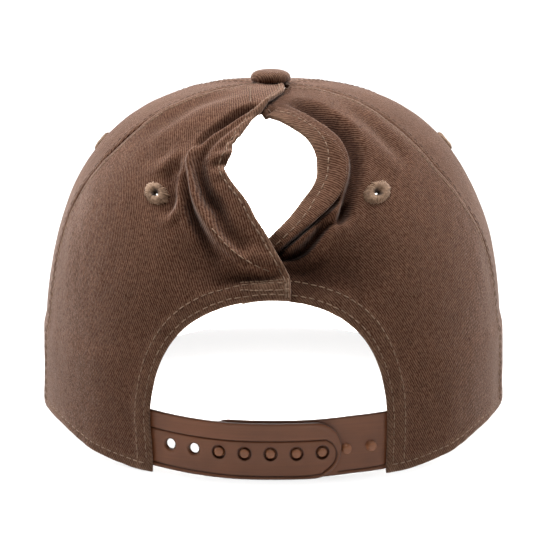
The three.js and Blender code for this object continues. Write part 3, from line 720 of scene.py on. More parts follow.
def back_panel(side, edge, folds, eyelet, over=None):
    free, arch = smooth_line(edge), arch_line(side, edge[-1][0])
    free[-1] = arch[0]
    half_angle, pull = np.radians(ARCH_FOOT[side])
    joint = RIGHT_SEAM if side > 0 else LEFT_SEAM
    rim = rim_line(side * (half_angle - pull), side * np.radians(joint[0][1]))
    arch[-1] = rim[0]
    seam = seam_line(joint, side)
    top = straight(seam[-1], free[0], EDGE_STEP)
    outline = np.vstack([line[:-1] for line in (free, arch, rim, seam, top)])
    hems = [Hem(free, *FREE_HEM[side], 0.1, 21), Hem(arch, *ARCH_HEM[side], 0.13, 22),
            Hem(rim, *RIM_HEM, 0.1, 23)]
    if side < 0:  # the doubled cloth at the foot of the crossing
        hems.append(Hem(straight((-9, 69.2), (2.6, 69.6)), 2.9, 0.3, 0, (), 0.12, 25, rubbed=0.7))
    sewn = [*((arch, row) for row in hems[1].rows), (free, *hems[0].rows), (seam, SEAM_ROW),
            (rim, *hems[2].rows)]
    swell = gathered(side, folds)
    if over:
        swell = tucked_under(over, swell)
    panel = SewnPanel(outline, 0.0, hems, [Seam(seam, SEAM_ROW, 24)], sewn, eyelet, swell,
                      side * GRAIN_TURN)
    panel.free = free
    return panel


left_back = back_panel(-1, LEFT_EDGE, LEFT_FOLDS, (-47.7, 99.1))
right_back = back_panel(1, RIGHT_EDGE, RIGHT_FOLDS, (41.2, 100.4), over=left_back)
left_back.sew("left_back_cloth", "left_back_panel", SPACING, (left_back.free, FINE_REACH, FINE_SPACING))
crest = smooth_line(RIGHT_FOLDS[0][-1], 0.6)[:, :2]
right_back.sew("right_back_cloth", "right_back_panel", SPACING, (right_back.free, FINE_REACH, FINE_SPACING),
               [(crest, np.arange(-3.2, 1.4, 0.3))])

# %% [markdown]
# ## The side panels and the front
#
# A five-panel cap has one wide panel over the forehead, where a six-panel cap has a seam. These three
# pieces are plain: stretched from seam to seam, with a stitched hem round the rim. They use the same
# maker as the back panels, only without folds. Each starts its own coordinates near its middle, because
# cloth unrolled from the far side of the crown would be sheared, and its weave with it.

# %% Cut and sew the sides and the front
def seamed_panel(turn, from_seam, to_seam, seed, eyelet=None):
    """A panel between two seams, each given as its table and its side."""
    first, last = (seam_line(seam, side, turn) for seam, side in (from_seam, to_seam))
    start, end = (side * np.radians(seam[0][1]) for seam, side in (from_seam, to_seam))
    rim = rim_line(start, end + (2 * np.pi if end < start else 0), turn)
    top = straight(last[-1], first[-1], 0.6)
    first[0], last[0] = rim[0], rim[-1]
    outline = np.vstack([line[:-1] for line in (rim, last, top, first[::-1])])
    hem = Hem(rim, *RIM_HEM, 0.1, seed)
    seams = [Seam(first, SEAM_ROW, seed + 1), Seam(last, SEAM_ROW, seed + 2)]
    sewn = [(first, SEAM_ROW), (last, SEAM_ROW), (rim, *hem.rows)]
    return SewnPanel(outline, turn, [hem], seams, sewn, eyelet)


SIDE_TURN = np.radians(100)
left_side = seamed_panel(-SIDE_TURN, (FRONT_SEAM, -1), (LEFT_SEAM, -1), 31, (-120, 105.5))
right_side = seamed_panel(SIDE_TURN, (RIGHT_SEAM, 1), (FRONT_SEAM, 1), 34, (120, 105.5))
front = seamed_panel(np.pi, (FRONT_SEAM, 1), (FRONT_SEAM, -1), 37)
left_side.sew("left_side_cloth", "left_side_panel", 1.8)
right_side.sew("right_side_cloth", "right_side_panel", 1.8)
front.sew("front_cloth", "front_panel", 2.0)

# %% [markdown]
# ## Stitches
#
# A lockstitch shows as a row of short threads, each dipping into the cloth at both ends. At this size a
# painted line would do from afar, but real threads catch the light one by one, and that is what tells the
# eye that cloth was sewn. Each thread here is a short bent tube, and all the threads of a panel make one
# mesh. The panel itself tells them where its surface is.

# %% Threads as bent tubes
def tubes(paths, radii, normals, sides=6):
    """Round tubes along many paths at once: paths is (count, steps, 3), in mm."""
    count, steps = paths.shape[:2]
    run = unit(np.gradient(paths, axis=1))
    sideways = unit(np.cross(run, np.broadcast_to(normals, paths.shape)))
    upward = np.cross(sideways, run)
    angle = np.arange(sides) / sides * 2 * np.pi
    ring = (np.cos(angle)[:, None] * sideways[:, :, None] + np.sin(angle)[:, None] * upward[:, :, None])
    points = paths[:, :, None] + np.broadcast_to(radii, (count, steps))[..., None, None] * ring
    at = np.arange(count * steps * sides).reshape(count, steps, sides)
    after = np.roll(at, -1, axis=2)
    walls = np.stack([at[:, :-1], at[:, 1:], after[:, 1:], after[:, :-1]], axis=-1).reshape(-1, 4)
    ends = at[:, 0].tolist() + at[:, -1, ::-1].tolist()
    return points.reshape(-1, 3), walls.tolist() + ends


def inset_line(panel, line, inset):
    """A line that runs inside the panel beside one of its edges."""
    across = to_the_right(np.gradient(line, axis=0))
    options = [line + side * inset * across for side in (-1, 1)]
    spots = max(options, key=lambda option: inside(panel.outline, option).sum())
    kept = inside(panel.outline, spots) & (nearest(line, spots)[0] > 0.96 * inset)
    kept &= edge_distance([panel.outline], spots) > min(inset, 2.0) * 0.9
    return spaced(spots[kept], 0.8)


STITCH, GAP = 2.5, 0.75  # mm: how long each is, and how far it is to the next
BENDS = np.array([0, 0.12, 0.5, 0.88, 1])  # where a thread bends, as shares of its length
ON_CLOTH = np.array([-1.7, 0.1, 0.5, 0.1, -1.7])  # how far out it lies there, in its own radii
ON_BOARD = np.array([-1.6, 0.3, 0.75, 0.3, -1.6])  # the same on tape and board, which give way less
SWELLING = np.array([0.7, 0.95, 1, 0.95, 0.7])  # and how thick it is
THREAD, FINE_THREAD, THICK_THREAD = 0.23, 0.16, 0.26  # mm: radii, the last for the sweatband and the peak


def stitch_row(panel, line, seed, length=STITCH, gap=GAP, thread=THREAD):
    """Paths and normals of the threads along one line on a panel."""
    chance = np.random.default_rng(seed)
    reach = distance_along(line)
    starts = np.arange(0.3, reach[-1] - length, length + gap)
    starts = starts + chance.uniform(-0.12, 0.12, len(starts))
    at = starts[:, None] + length * BENDS
    spots = np.stack([np.interp(at, reach, line[:, k]) for k in (0, 1)], axis=-1)
    spots += chance.normal(0, 0.05, (len(starts), 1, 2))
    out = np.tile(thread * ON_CLOTH, len(starts))
    paths = panel.place(spots.reshape(-1, 2), out).reshape(*at.shape, 3)
    return paths, panel.facing(spots[:, 2])[:, None], thread * SWELLING


def edge_stitches(panel, seed, thread=THREAD):
    """The rows beside all of a panel's hems and seams."""
    return [stitch_row(panel, inset_line(panel, line, inset), seed + i, thread=thread)
            for i, (line, inset) in enumerate(panel.sewn)]


def stitching(name, rows):
    """One piece from many rows of threads."""
    points, faces, start = [], [], 0
    for paths, normals, radii in rows:
        if len(paths):
            some, joined = tubes(paths, radii, normals)
            points.append(some)
            faces += [[i + start for i in face] for face in joined]
            start += len(some)
    piece = new_piece(name, np.vstack(points), faces)
    print(name, sum(len(paths) for paths, _, _ in rows), "stitches")
    return piece


# %% Sew along the hems and seams
CLOSE = dict(length=1.5, gap=0.3, thread=0.25)
TACKS = [((-12.6, 68.2), (4.8, 68.4)), ((-12.6, 71.0), (4.6, 72.2)), ((5.5, 65.4), (5.3, 72.6)),
         ((4.7, 65.4), (4.5, 72.4)), ((-9.4, 172), (-8.8, 153.6))]
ROLL_FOOT = [(-22.5, 88.9), (-17.4, 83.8), (-12, 79.6), (-6.5, 76.8), (-1.5, 75)]

left_rows = edge_stitches(left_back, 100)
left_rows += [stitch_row(left_back, straight(*ends), 110 + i, **CLOSE) for i, ends in enumerate(TACKS)]
left_rows.append(stitch_row(left_back, smooth_line(ROLL_FOOT, 0.5), 115))
left_back.stitches = stitching("left_back_stitches", left_rows)
right_back.stitches = stitching("right_back_stitches", edge_stitches(right_back, 120))
left_side.stitches = stitching("left_side_stitches", edge_stitches(left_side, 130, FINE_THREAD))
right_side.stitches = stitching("right_side_stitches", edge_stitches(right_side, 140, FINE_THREAD))
front.stitches = stitching("front_stitches", edge_stitches(front, 150, FINE_THREAD))

# %% [markdown]
# ## Embroidered eyelets
#
# Each side and back panel has a vent hole, whipped round with thread by a machine. The threads run from
# the hole outwards, close together, over a hidden ring of padding stitches. A torus would look moulded,
# so we lay forty-odd separate threads over a soft ring, each a little uneven, on the panel's own surface.

# %% Whip the eyelets
# From the hole outwards, in mm: where a thread bends, how far out it lies there, and its radius.
FLOSS = np.array([(0.45, -1.4, 0.12), (0.75, -0.5, 0.14), (1.35, 0.4, 0.18), (2.2, 0.95, 0.27),
                  (3.2, 0.85, 0.32), (4.05, 0.45, 0.33), (4.5, -0.35, 0.28)])
# Round the padding's section, in mm: how far from the hole's middle, and how far out.
PADDING = np.array([(0.7, -1.0), (1.2, -0.1), (2.3, 0.65), (3.4, 0.6), (4.1, 0.15), (4.3, -0.2),
                    (3.4, -0.4), (2.3, -0.7), (0.95, -1.2)])


def whipped_eyelet(name, node, panel, seed, shape=(1.25, 0.87), threads=42):
    chance = np.random.default_rng(seed)
    turn = (np.arange(threads) + chance.uniform(-0.18, 0.18, threads)) / threads * 2 * np.pi
    radius, out, thread = FLOSS.T
    reach = radius + (radius > 3) * chance.normal(0, 0.16, (threads, 1))
    spiral = turn[:, None] + 0.05 * (radius - 0.9)
    spots = panel.eyelet + reach[..., None] * circle(spiral) * shape
    heights = out + chance.normal(0, 0.06, (threads, 1))
    paths = panel.place(spots.reshape(-1, 2), heights.ravel()).reshape(threads, -1, 3)
    middle, facing = panel.place(panel.eyelet[None])[0], panel.facing(panel.eyelet[None])[0]
    points, faces = tubes(paths, thread, facing)
    rounds = circle(full_turn(40))[:, None] * shape
    spots = panel.eyelet + PADDING[None, :, :1] * rounds
    ring = panel.place(spots.reshape(-1, 2), np.tile(PADDING[:, 1], len(rounds)))
    at = np.arange(len(ring)).reshape(len(rounds), -1)
    around, along = np.roll(at, -1, axis=0), np.roll(at, -1, axis=1)
    both = np.roll(around, -1, axis=1)
    quads = np.stack([at, around, both, along], axis=-1).reshape(-1, 4) + len(points)
    points = np.vstack([points, ring])
    piece = new_piece(name, points, faces + quads.tolist())
    from_hole = np.linalg.norm(np.cross(points - middle, facing), axis=1)
    # Painted shade on the threads where they go down into the hole.
    store(piece, 0, ramp(from_hole, 1.9, 1.0))
    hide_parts(node)
    return piece


eyelets = [
    whipped_eyelet("left_back_eyelet", "eyelet_back_left", left_back, 51),
    whipped_eyelet("right_back_eyelet", "eyelet_back_right", right_back, 52, (1.4, 0.93)),
    whipped_eyelet("left_side_eyelet", "eyelet_side_left", left_side, 53),
    whipped_eyelet("right_side_eyelet", "eyelet_side_right", right_side, 54)]
print(len(eyelets), "eyelets of about", round(eyelets[0].dimensions.x * 1000, 1), "mm across")

# %% [markdown]
# ## The covered button
#
# The button on top is a metal cap with a disc of the same cloth pressed round it. Its top is a low dome
# with a soft shoulder, and its underside tucks in over the place where all the panels meet. A profile
# turned round an axis gives that form. The pressed cloth wrinkles a little where it goes over the edge.

# %% Turn the button
def turned_form(profile, count):
    """Rings of points from a profile of (radius, height), turned round the upright axis."""
    angle = full_turn(count)
    radius, height = np.array(profile, float).T
    points = np.stack([radius[:, None] * np.cos(angle), radius[:, None] * np.sin(angle),
                       height[:, None] + 0 * angle], axis=-1)
    at = np.arange(len(radius) * count).reshape(len(radius), count)
    quads = np.stack([at[:-1], np.roll(at, -1, 1)[:-1], np.roll(at, -1, 1)[1:], at[1:]], -1).reshape(-1, 4)
    return points, quads.tolist(), angle


BUTTON_RADIUS, BUTTON_SHIFT, AROUND = 8, -1.1, 96  # mm, mm across from the middle, and points round it
shoulder = np.linspace(0, np.pi / 2, 16)
dome = np.stack([BUTTON_RADIUS * np.cos(shoulder)**0.62, 1.3 + 3.75 * np.sin(shoulder)**0.85], axis=1)
under = [(1.2, -2.6), (2.5, -2.4), (2.6, 0.1), (5.4, 0.3), (6.8, 0.4), (7.6, 0.7)]
profile = smooth_line([*under, *dome[:-1], (0.6, 5.05)], 0.35)
points, faces, angle = turned_form(profile, AROUND)
rings = np.arange(len(profile)).reshape(-1, 1)
edge = bell(profile[:, 1], 1.1, 1.5)[:, None] * (profile[:, 0] > 5)[:, None]
wrinkle = 1 - 0.012 * edge * (1 + uneven(angle[None] * 6, rings / 9, 61))
points[..., :2] *= wrinkle[..., None]
top_ring = [int(i) for i in rings[-1] * AROUND + np.arange(AROUND)]
points = points.reshape(-1, 3)
cloth_on_button = points[:, :2] * (1 + 0.25 * (5.1 - points[:, 2:3]) / 6)
covered_button = new_piece("covered_button", points + CENTRE + [BUTTON_SHIFT, 0, HEIGHT],
                           faces + [top_ring, list(range(AROUND))[::-1]])
lay_weave(covered_button, cloth_on_button,
          0.45 * ramp(points[:, 2], 1, 3.5) * ramp(np.hypot(*points[:, :2].T), 5, 7.6))
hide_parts("button")
print("button:", (np.array(covered_button.dimensions) * 1000).round(1), "mm")

# %% [markdown]
# ## The snap strap
#
# Two plastic tongues are sewn inside the back panels' corners. One has seven holes, the other seven pegs,
# and five pairs are snapped together. The tongues are flat mouldings bent round the head, so they too are
# cut flat: an outline with round holes, filled with triangles, and laid along the crown's wall. The fine
# line round the holes and the lip along the lower edge are moulded in, so they're part of the shape. For
# crisp lines the triangles need rows of spots along them, as along an edge. Grooves and edges get painted
# shade, and pegs get rubbed, so both are stored for the plastic's finish.

# %% Mould the tongues
# In mm, and where a thing lies is measured along the strap from the centre back.
STRAP_ROWS = (0.05, 0.14, 0.27, 0.45, 0.7)  # in from an edge
LINE_ROWS = (-0.55, -0.32, -0.15, 0, 0.15, 0.32, 0.55)  # on both sides of a moulded line
PLASTIC, ROUNDING, TIP_RADIUS = 1.3, 0.5, 10.8  # how thick it is, and the radius of its edges and tips
OPEN_HOLE, FILLED_HOLE = 1.85, 2.4  # radii of the two holes without a peg, and of those with one
SNAP_UP, PITCH, PEG_SIDES = 10.0, 9.85, 28  # the snaps' height on the strap, and from one to the next
STRAP_LIFT = [(-40, 3.6), (-29, 1.9), (-18, 0.6), (-8, 0), (8, 0), (18, 0.5), (29, 1.4), (40, 2.6)]


def along_wall(degrees):
    return np.radians(degrees) * WALL


def strap_lift(azimuth):
    """How far the strap has curved up from the table."""
    return np.maximum(0, follow(STRAP_LIFT, np.degrees(azimuth)))


def tongue_outline(sewn, tip, top):
    """Round the tongue, from its sewn end along the top, round the tip and back along the bottom."""
    way = np.sign(tip - sewn)
    end = np.linspace(np.pi / 2, -np.pi / 2, 34)
    round_tip = np.stack([tip + way * TIP_RADIUS * (np.cos(end) - 1), top / 2 * (1 + np.sin(end))], axis=1)
    upper, lower = straight((sewn, top), round_tip[0]), straight(round_tip[-1], (sewn, 0))
    return spaced(np.vstack([upper[:-1], round_tip[:-1], lower]), 0.45)


def mould(name, outline, holes, depth, face, lines, node, pegs=()):
    loops = [outline, *holes]
    flat, triangles = fill(loops, 0.8, STRAP_ROWS, creases=[(line, LINE_ROWS) for line in lines])
    gap = edge_distance(loops, flat)
    fall = round_edge(gap, ROUNDING)
    azimuth = flat[:, 0] / WALL
    up = flat[:, 1] + strap_lift(azimuth)
    outer = above_skin(azimuth, up, -depth(azimuth) + face(flat) - fall)
    inner = above_skin(azimuth, up, -depth(azimuth) - PLASTIC + fall)
    points, faces = two_faced(flat, triangles, outer, inner)
    # Painted shade for the finish: strongest in the moulded lines and along the edges.
    engraved = bell(np.min([nearest(line, flat)[0] for line in lines], axis=0), 0.33)
    painted_shade = np.tile(np.maximum(0.8 * engraved, 0.9 * bell(gap, 0.42)), 2)
    for across, height in pegs:
        seat = np.array([across / WALL]), SNAP_UP + strap_lift(np.array([across / WALL]))
        foot = above_skin(*seat, -depth(seat[0]))[0]
        out = crown_normal(*seat)[0]
        side = np.cross([0, 0, 1.0], out)
        rise = np.cross(out, side)
        knob = [(2.05, -0.5), (2.0, 0.0), (1.78, 0.25), (1.74, height - 0.7), (1.66, height - 0.4),
                (1.46, height - 0.15), (1.1, height), (0.6, height + 0.08), (0.1, height + 0.1)]
        ring, quads, _ = turned_form(knob, PEG_SIDES)
        foot_cap = list(range(PEG_SIDES))
        caps = [foot_cap[::-1], [i + (len(knob) - 1) * PEG_SIDES for i in foot_cap]]
        start = len(points)
        ring = ring.reshape(-1, 3)
        points = np.vstack([points, foot + ring[:, :1] * side + ring[:, 1:2] * rise + ring[:, 2:] * out])
        faces += [[i + start for i in face] for face in quads + caps]
    piece = new_piece(name, points, faces)
    on_peg = len(points) - len(painted_shade)
    store(piece, np.append(0 * painted_shade, np.ones(on_peg)), np.append(painted_shade, np.zeros(on_peg)))
    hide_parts(node)
    print(name, len(faces), "faces")
    return piece


# %% The tongue with holes, and the tongue with pegs
HOLE_DEPTH, BEHIND = 1.6, 3.25  # from the crown's skin in to each tongue's outer face
tip = along_wall(16.5)
snaps = along_wall(-25.5) + PITCH * np.arange(9)
hole_outline = tongue_outline(along_wall(-38), tip, 21.5)
line_round_holes = smooth_line([(-56, 14.7), (-30, 14.7), (0, 14.7), (tip - 8.2, 14.7), (tip - 5.4, 14.2),
                                (tip - 3.2, 12.4), (tip - 2.0, 9.2), (tip - 3.0, 5.8), (tip - 6.4, 2.8),
                                (tip - 11, 1.4), (-10, 1.35), (-30, 1.5), (-45, 1.6), (-57, 1.7)], 0.45)


def hole_face(spots):
    gap, _, side = nearest(line_round_holes, spots)
    rim_gap = edge_distance([hole_outline], spots)
    bead = 0.16 * bell(rim_gap, 0.42, 1.05) * ramp(spots[:, 0], tip - 13, tip - 8)
    field = -0.14 * (side < 0) * ramp(gap, 0.1, 0.5)
    from_holes = [np.hypot(spots[:, 0] - x, spots[:, 1] - SNAP_UP) for x in snaps[:7]]
    boss = 0.12 * ramp(np.min(from_holes, axis=0), 3.7, 3.2)
    ledge = -0.75 * ramp(np.min(from_holes[:2], axis=0), 2.5, 2.35)
    lip = 0.14 * bell(rim_gap, 0.4, 0.9) * (spots[:, 1] > 10)
    return -0.5 * bell(gap, 0.3) + bead + field + boss + ledge + lip


holes = [np.array((x, SNAP_UP)) + (OPEN_HOLE if i < 2 else FILLED_HOLE) * circle(full_turn(36))
         for i, x in enumerate(snaps[:7])]
hole_tongue = mould("hole_tongue", hole_outline, holes, lambda azimuth: HOLE_DEPTH + 0 * azimuth,
                    hole_face, [line_round_holes], "hole_strap")

peg_outline = tongue_outline(along_wall(37), along_wall(-17.3), 22.2)
peg_lip = smooth_line([(26, 1.5), (34, 1.5), (42, 1.7), (47, 2.2), (53, 4)], 0.45)


def peg_depth(azimuth):
    return BEHIND + (HOLE_DEPTH - BEHIND) * ramp(np.degrees(azimuth), 18, 28)


def peg_face(spots):
    return -0.3 * bell(nearest(peg_lip, spots)[0], 0.24)


pegs = [(x, 2.0 if x < tip - 3 else 1.9) for x in snaps[2:9]]
peg_tongue = mould("peg_tongue", peg_outline, [], peg_depth, peg_face, [peg_lip], "peg_strap", pegs)

# %% [markdown]
# ## The sweatband
#
# Inside the rim runs a folded tape that takes up sweat and hides the seam. The photograph shows only
# white through the cap's openings, so the tape and the front panel's backing are made pale. It is laid as
# a long grid from one end of the arch, round the front, to the other, with rounded edges and two rows of
# stitches. A little unevenness keeps it from looking like a metal ring.

# %% Lay the sweatband
BAND_RADIUS, STITCH_RADIUS = 90, 92  # mm, to turn angles round the tape and its stitches into lengths
BAND_THICK, BAND_ROWS = 1.2, (3.2, 34.0)  # mm


def band_spot(azimuth, above, out):
    up = up_from_rim(azimuth, above)
    back = np.degrees(from_back(azimuth))
    depth = 3.3 + (1.8 - 3.3) * ramp(back, 41, 50)
    settle = 0.25 * uneven(azimuth * BAND_RADIUS / 14, above / 15, 71) * ramp(back, 45, 60) - 0.25
    return above_skin(azimuth, up, out - depth + settle)


def grid_piece(name, outer, inner):
    """A closed piece from two grids of points, the outer one's faces looking out."""
    rows, cols = outer.shape[:2]
    n = rows * cols
    at = np.arange(n).reshape(rows, cols)
    face = np.stack([at[:-1, :-1], at[:-1, 1:], at[1:, 1:], at[1:, :-1]], axis=-1).reshape(-1, 4)
    rim = np.concatenate([at[0, :-1], at[:-1, -1], at[-1, :0:-1], at[:0:-1, 0]])
    after = np.roll(rim, -1)
    strip = np.stack([after, rim, rim + n, after + n], axis=-1)
    faces = np.vstack([face, n + face[:, ::-1], strip])
    return new_piece(name, np.vstack([outer.reshape(-1, 3), inner.reshape(-1, 3)]), faces.tolist())


band_turn = np.radians(np.linspace(32.6, 327.4, 420))
band_rise = np.concatenate([[0, 0.1, 0.3, 0.6], np.linspace(1, 35.5, 26), [35.8, 36.05, 36.2, 36.3]]) + 0.6
azimuths, above = np.meshgrid(band_turn, band_rise)
edge_gap = np.minimum(above - 0.6, 36.9 - above)
fall = round_edge(edge_gap, 0.55)
valleys = -SUNK * sum(bell(above, 0.6, row) for row in BAND_ROWS)
pleats = 0.12 * uneven(azimuths * BAND_RADIUS / 3.2, above / 12, 72) * ramp(np.abs(above - 18), 8, 16)
sweatband_tape = grid_piece("sweatband_tape", band_spot(azimuths, above, -fall),
                            band_spot(azimuths, above, -BAND_THICK + fall - valleys + pleats))
lay_weave(sweatband_tape, np.tile(np.stack([azimuths.ravel() * BAND_RADIUS, above.ravel()], -1), (2, 1)),
          np.tile(np.exp(-edge_gap.ravel() / 1.2), 2))
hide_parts("sweatband")


def band_stitches(row, seed):
    chance = np.random.default_rng(seed)
    starts = np.arange(band_turn[0] + 0.02, band_turn[-1] - 0.05, (STITCH + GAP) / STITCH_RADIUS)
    turns = starts[:, None] + STITCH / STITCH_RADIUS * BENDS
    height = row + chance.normal(0, 0.05, (len(starts), 1)) + 0 * turns
    out = -BAND_THICK + SUNK - THICK_THREAD * ON_BOARD
    normals = -crown_normal(starts, up_from_rim(starts, row))[:, None]
    return band_spot(turns, height, out + 0 * turns), normals, THICK_THREAD * SWELLING


band_rows = [band_stitches(row, 81 + i) for i, row in enumerate(BAND_ROWS)]
band_stitching = stitching("sweatband_stitches", band_rows)

# %% [markdown]
# ## The peak
#
# The peak is a stiff board between two layers of twill, sewn through in rows that follow its outline.
# Bending a flat sheet over an arch gives its curve: high in the middle, down at both sides, where it meets
# the table. The rows of stitches sink into the cloth a little, and that quilting shows in grazing light.

# %% Cover the peak
# In mm: half its width, how far it stands out, how far behind its rim it is widest, its rise, its board.
PEAK_HALF, PEAK_LENGTH, WIDEST, PEAK_ARCH, BOARD = 88.0, 70.0, 22.0, 17.2, 3
PEAK_EDGE = 1.42  # mm, the radius that its edge is rounded with
PEAK_ROWS = np.linspace(0.12, 0.93, 8)  # where it is stitched, as shares of the way out from the rim


def peak_spot(turn_share, out_share, height):
    """turn_share runs from one tip, -1, to the other, 1; out_share from the rim, 0, to the edge, 1."""
    azimuth = np.pi - np.radians(57) * turn_share
    turn = np.radians(99) * turn_share
    tapered = out_share * (1 - 0.45 * ramp(np.abs(turn_share) * 11, 10, 11))
    shaped = lambda value: np.sign(value) * np.abs(value)**(2 / 2.3)
    up = rim_height(azimuth)
    start = above_skin(azimuth, up, np.array(0.4)) - CENTRE
    x = start[..., 0] * (1 - tapered) + PEAK_HALF * shaped(np.sin(turn)) * tapered
    y = (start[..., 1] * (1 - tapered)
         + (FRONT - WIDEST + (PEAK_LENGTH + WIDEST) * shaped(np.cos(turn))) * tapered)
    z = PEAK_ARCH * (1 - (x / PEAK_HALF)**2) * (1 - 0.15 * tapered) + height
    return np.stack([x, y, z], axis=-1) + CENTRE


turn_share = np.linspace(-1, 1, 201)
out_share = np.concatenate([np.linspace(0, 0.9, 46), [0.93, 0.955, 0.97, 0.98, 0.987, 0.993, 0.997, 1]])
turns, outs = np.meshgrid(turn_share, out_share)
reach = np.linalg.norm(peak_spot(turns, 1 + 0 * outs, 0) - peak_spot(turns, 0 * outs, 0), axis=-1)
edge_gap = np.minimum((1 - outs) * reach, (1 - np.abs(turns)) * 90 + 0.02)
fall = round_edge(edge_gap, PEAK_EDGE)
quilt = -SUNK * sum(bell((outs - row) * reach, 0.8) for row in PEAK_ROWS)
quilt += 0.06 * uneven(turns * 40, outs * 12, 91)
peak_top = peak_spot(turns, outs, BOARD - fall + quilt)
peak_under = peak_spot(turns, outs, fall - quilt * ramp(reach * (1 - outs), 1, 4))
peak_cover = grid_piece("peak_cover", peak_top[:, ::-1], peak_under[:, ::-1])
flat_peak = (peak_top[:, ::-1, :2] - CENTRE[:2]).reshape(-1, 2)
peak_wear = np.exp(-edge_gap[:, ::-1].ravel() / 1.6) * 0.9
lay_weave(peak_cover, np.vstack([flat_peak, flat_peak]), np.tile(peak_wear, 2))
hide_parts("peak")


def peak_stitches(row, face, seed):
    chance = np.random.default_rng(seed)
    fine = np.linspace(-0.985, 0.985, 900)
    run = distance_along(peak_spot(fine, row + 0 * fine, 0 * fine))
    starts = np.arange(0.5, run[-1] - STITCH, STITCH + GAP)
    at = np.interp(starts[:, None] + STITCH * BENDS, run, fine)
    out = THICK_THREAD * ON_BOARD
    height = (BOARD - SUNK + out) if face > 0 else (SUNK - out)
    share = row + chance.normal(0, 0.0006, (len(starts), 1)) + 0 * at
    return peak_spot(at, share, height + 0 * at), np.array([0, 0, float(face)]), THICK_THREAD * SWELLING


peak_rows = [peak_stitches(row, face, seed + i) for face, seed in ((1, 200), (-1, 220))
             for i, row in enumerate(PEAK_ROWS)]
peak_stitching = stitching("peak_stitches", peak_rows)

# %% [markdown]
# ## Washed twill
#
# Twill shows fine slanting ridges, called wales, because each thread floats over two others and every row
# is shifted by one. The whole look is built from nodes that read the cloth's own coordinates, so the
# wales follow each panel's cut and stay the right size. Garment washing leaves lighter threads, a cloudy
# colour and pale hems, and the folds' valleys are darkened with painted shade. The finish mixes those
# in, and a little sheen stands for the short soft nap.

# %% A helper for finishes
class Finish:
    """A material whose nodes feed its shader."""

    def __init__(self, name, plain):
        """plain has the shader's values that are the same all over."""
        self.material = bpy.data.materials.new(name)
        self.material.use_nodes = True
        self.tree = self.material.node_tree
        self.shader = self.tree.nodes["Principled BSDF"]
        for key, value in plain.items():
            self.shader.inputs[key].default_value = value

    def link(self, socket, name):
        self.tree.links.new(socket, self.shader.inputs[name])

    def node(self, kind, inputs, output=0, **settings):
        made = self.tree.nodes.new("ShaderNode" + kind)
        for key, value in settings.items():
            setattr(made, key, value)
        for key, value in inputs.items():
            if isinstance(value, bpy.types.NodeSocket):
                self.tree.links.new(value, made.inputs[key])
            else:
                made.inputs[key].default_value = value
        return made.outputs[output]

    def noise(self, place, scale, detail, roughness=0.5, output="Fac"):
        return self.node("TexNoise", {"Vector": place, "Scale": scale, "Detail": detail,
                                      "Roughness": roughness}, output)

    def wave(self, place, spacing, way, **inputs):
        """Bands across the cloth, that many millimetres from one to the next."""
        scale = 0.3142 / spacing  # the texture has 20 radians to a unit, so a tenth of pi gives one band
        return self.node("TexWave", {"Vector": place, "Scale": scale, "Detail": 2.0, **inputs}, "Fac",
                         wave_type="BANDS", bands_direction=way)

    def scaled(self, a, by, plus=0.0, clamp=False):
        """a times by, plus the last, where each can be a number or another node's result."""
        return self.node("Math", {0: a, 1: by, 2: plus}, operation="MULTIPLY_ADD", use_clamp=clamp)

    def blend(self, share, low, high, kind="MIX"):
        return self.node("Mix", {0: share, 6: low, 7: high}, 2, data_type="RGBA", blend_type=kind)

    def tinted(self, colour, tint):
        """A colour times another, given as three numbers."""
        return self.blend(1.0, colour, (*tint, 1), "MULTIPLY")

    def between(self, share, start, low, end, high):
        """A colour that goes from low to high as the share goes from start to end."""
        made = self.node("ValToRGB", {0: share})
        for stop, position, colour in zip(made.node.color_ramp.elements, (start, end), (low, high)):
            stop.position, stop.color = position, (*colour, 1)
        return made

    def stored(self, name):
        return self.node("Attribute", {}, "Fac", attribute_name=name)

    def bump(self, height, strength, distance):
        self.link(self.node("Bump", {"Height": height, "Strength": strength, "Distance": distance}),
                  "Normal")


# %% Twill
WALE = 0.82  # mm from one wale to the next
GROUND, CLOUDED = (0.094, 0.0385, 0.0185), (0.084, 0.0345, 0.0165)
DEEP, LIGHT = (0.42, 0.25, 0.13), (1.66, 2.05, 2.6)  # tints between the wales and on them
# Of these two, the second is painted shade: the tint that darkens the cloth deep in a fold.
PALE, FOLD_SHADE = (0.24, 0.15, 0.1, 1), (0.42, 0.36, 0.32)  # rubbed cloth, and the tint deep in a fold


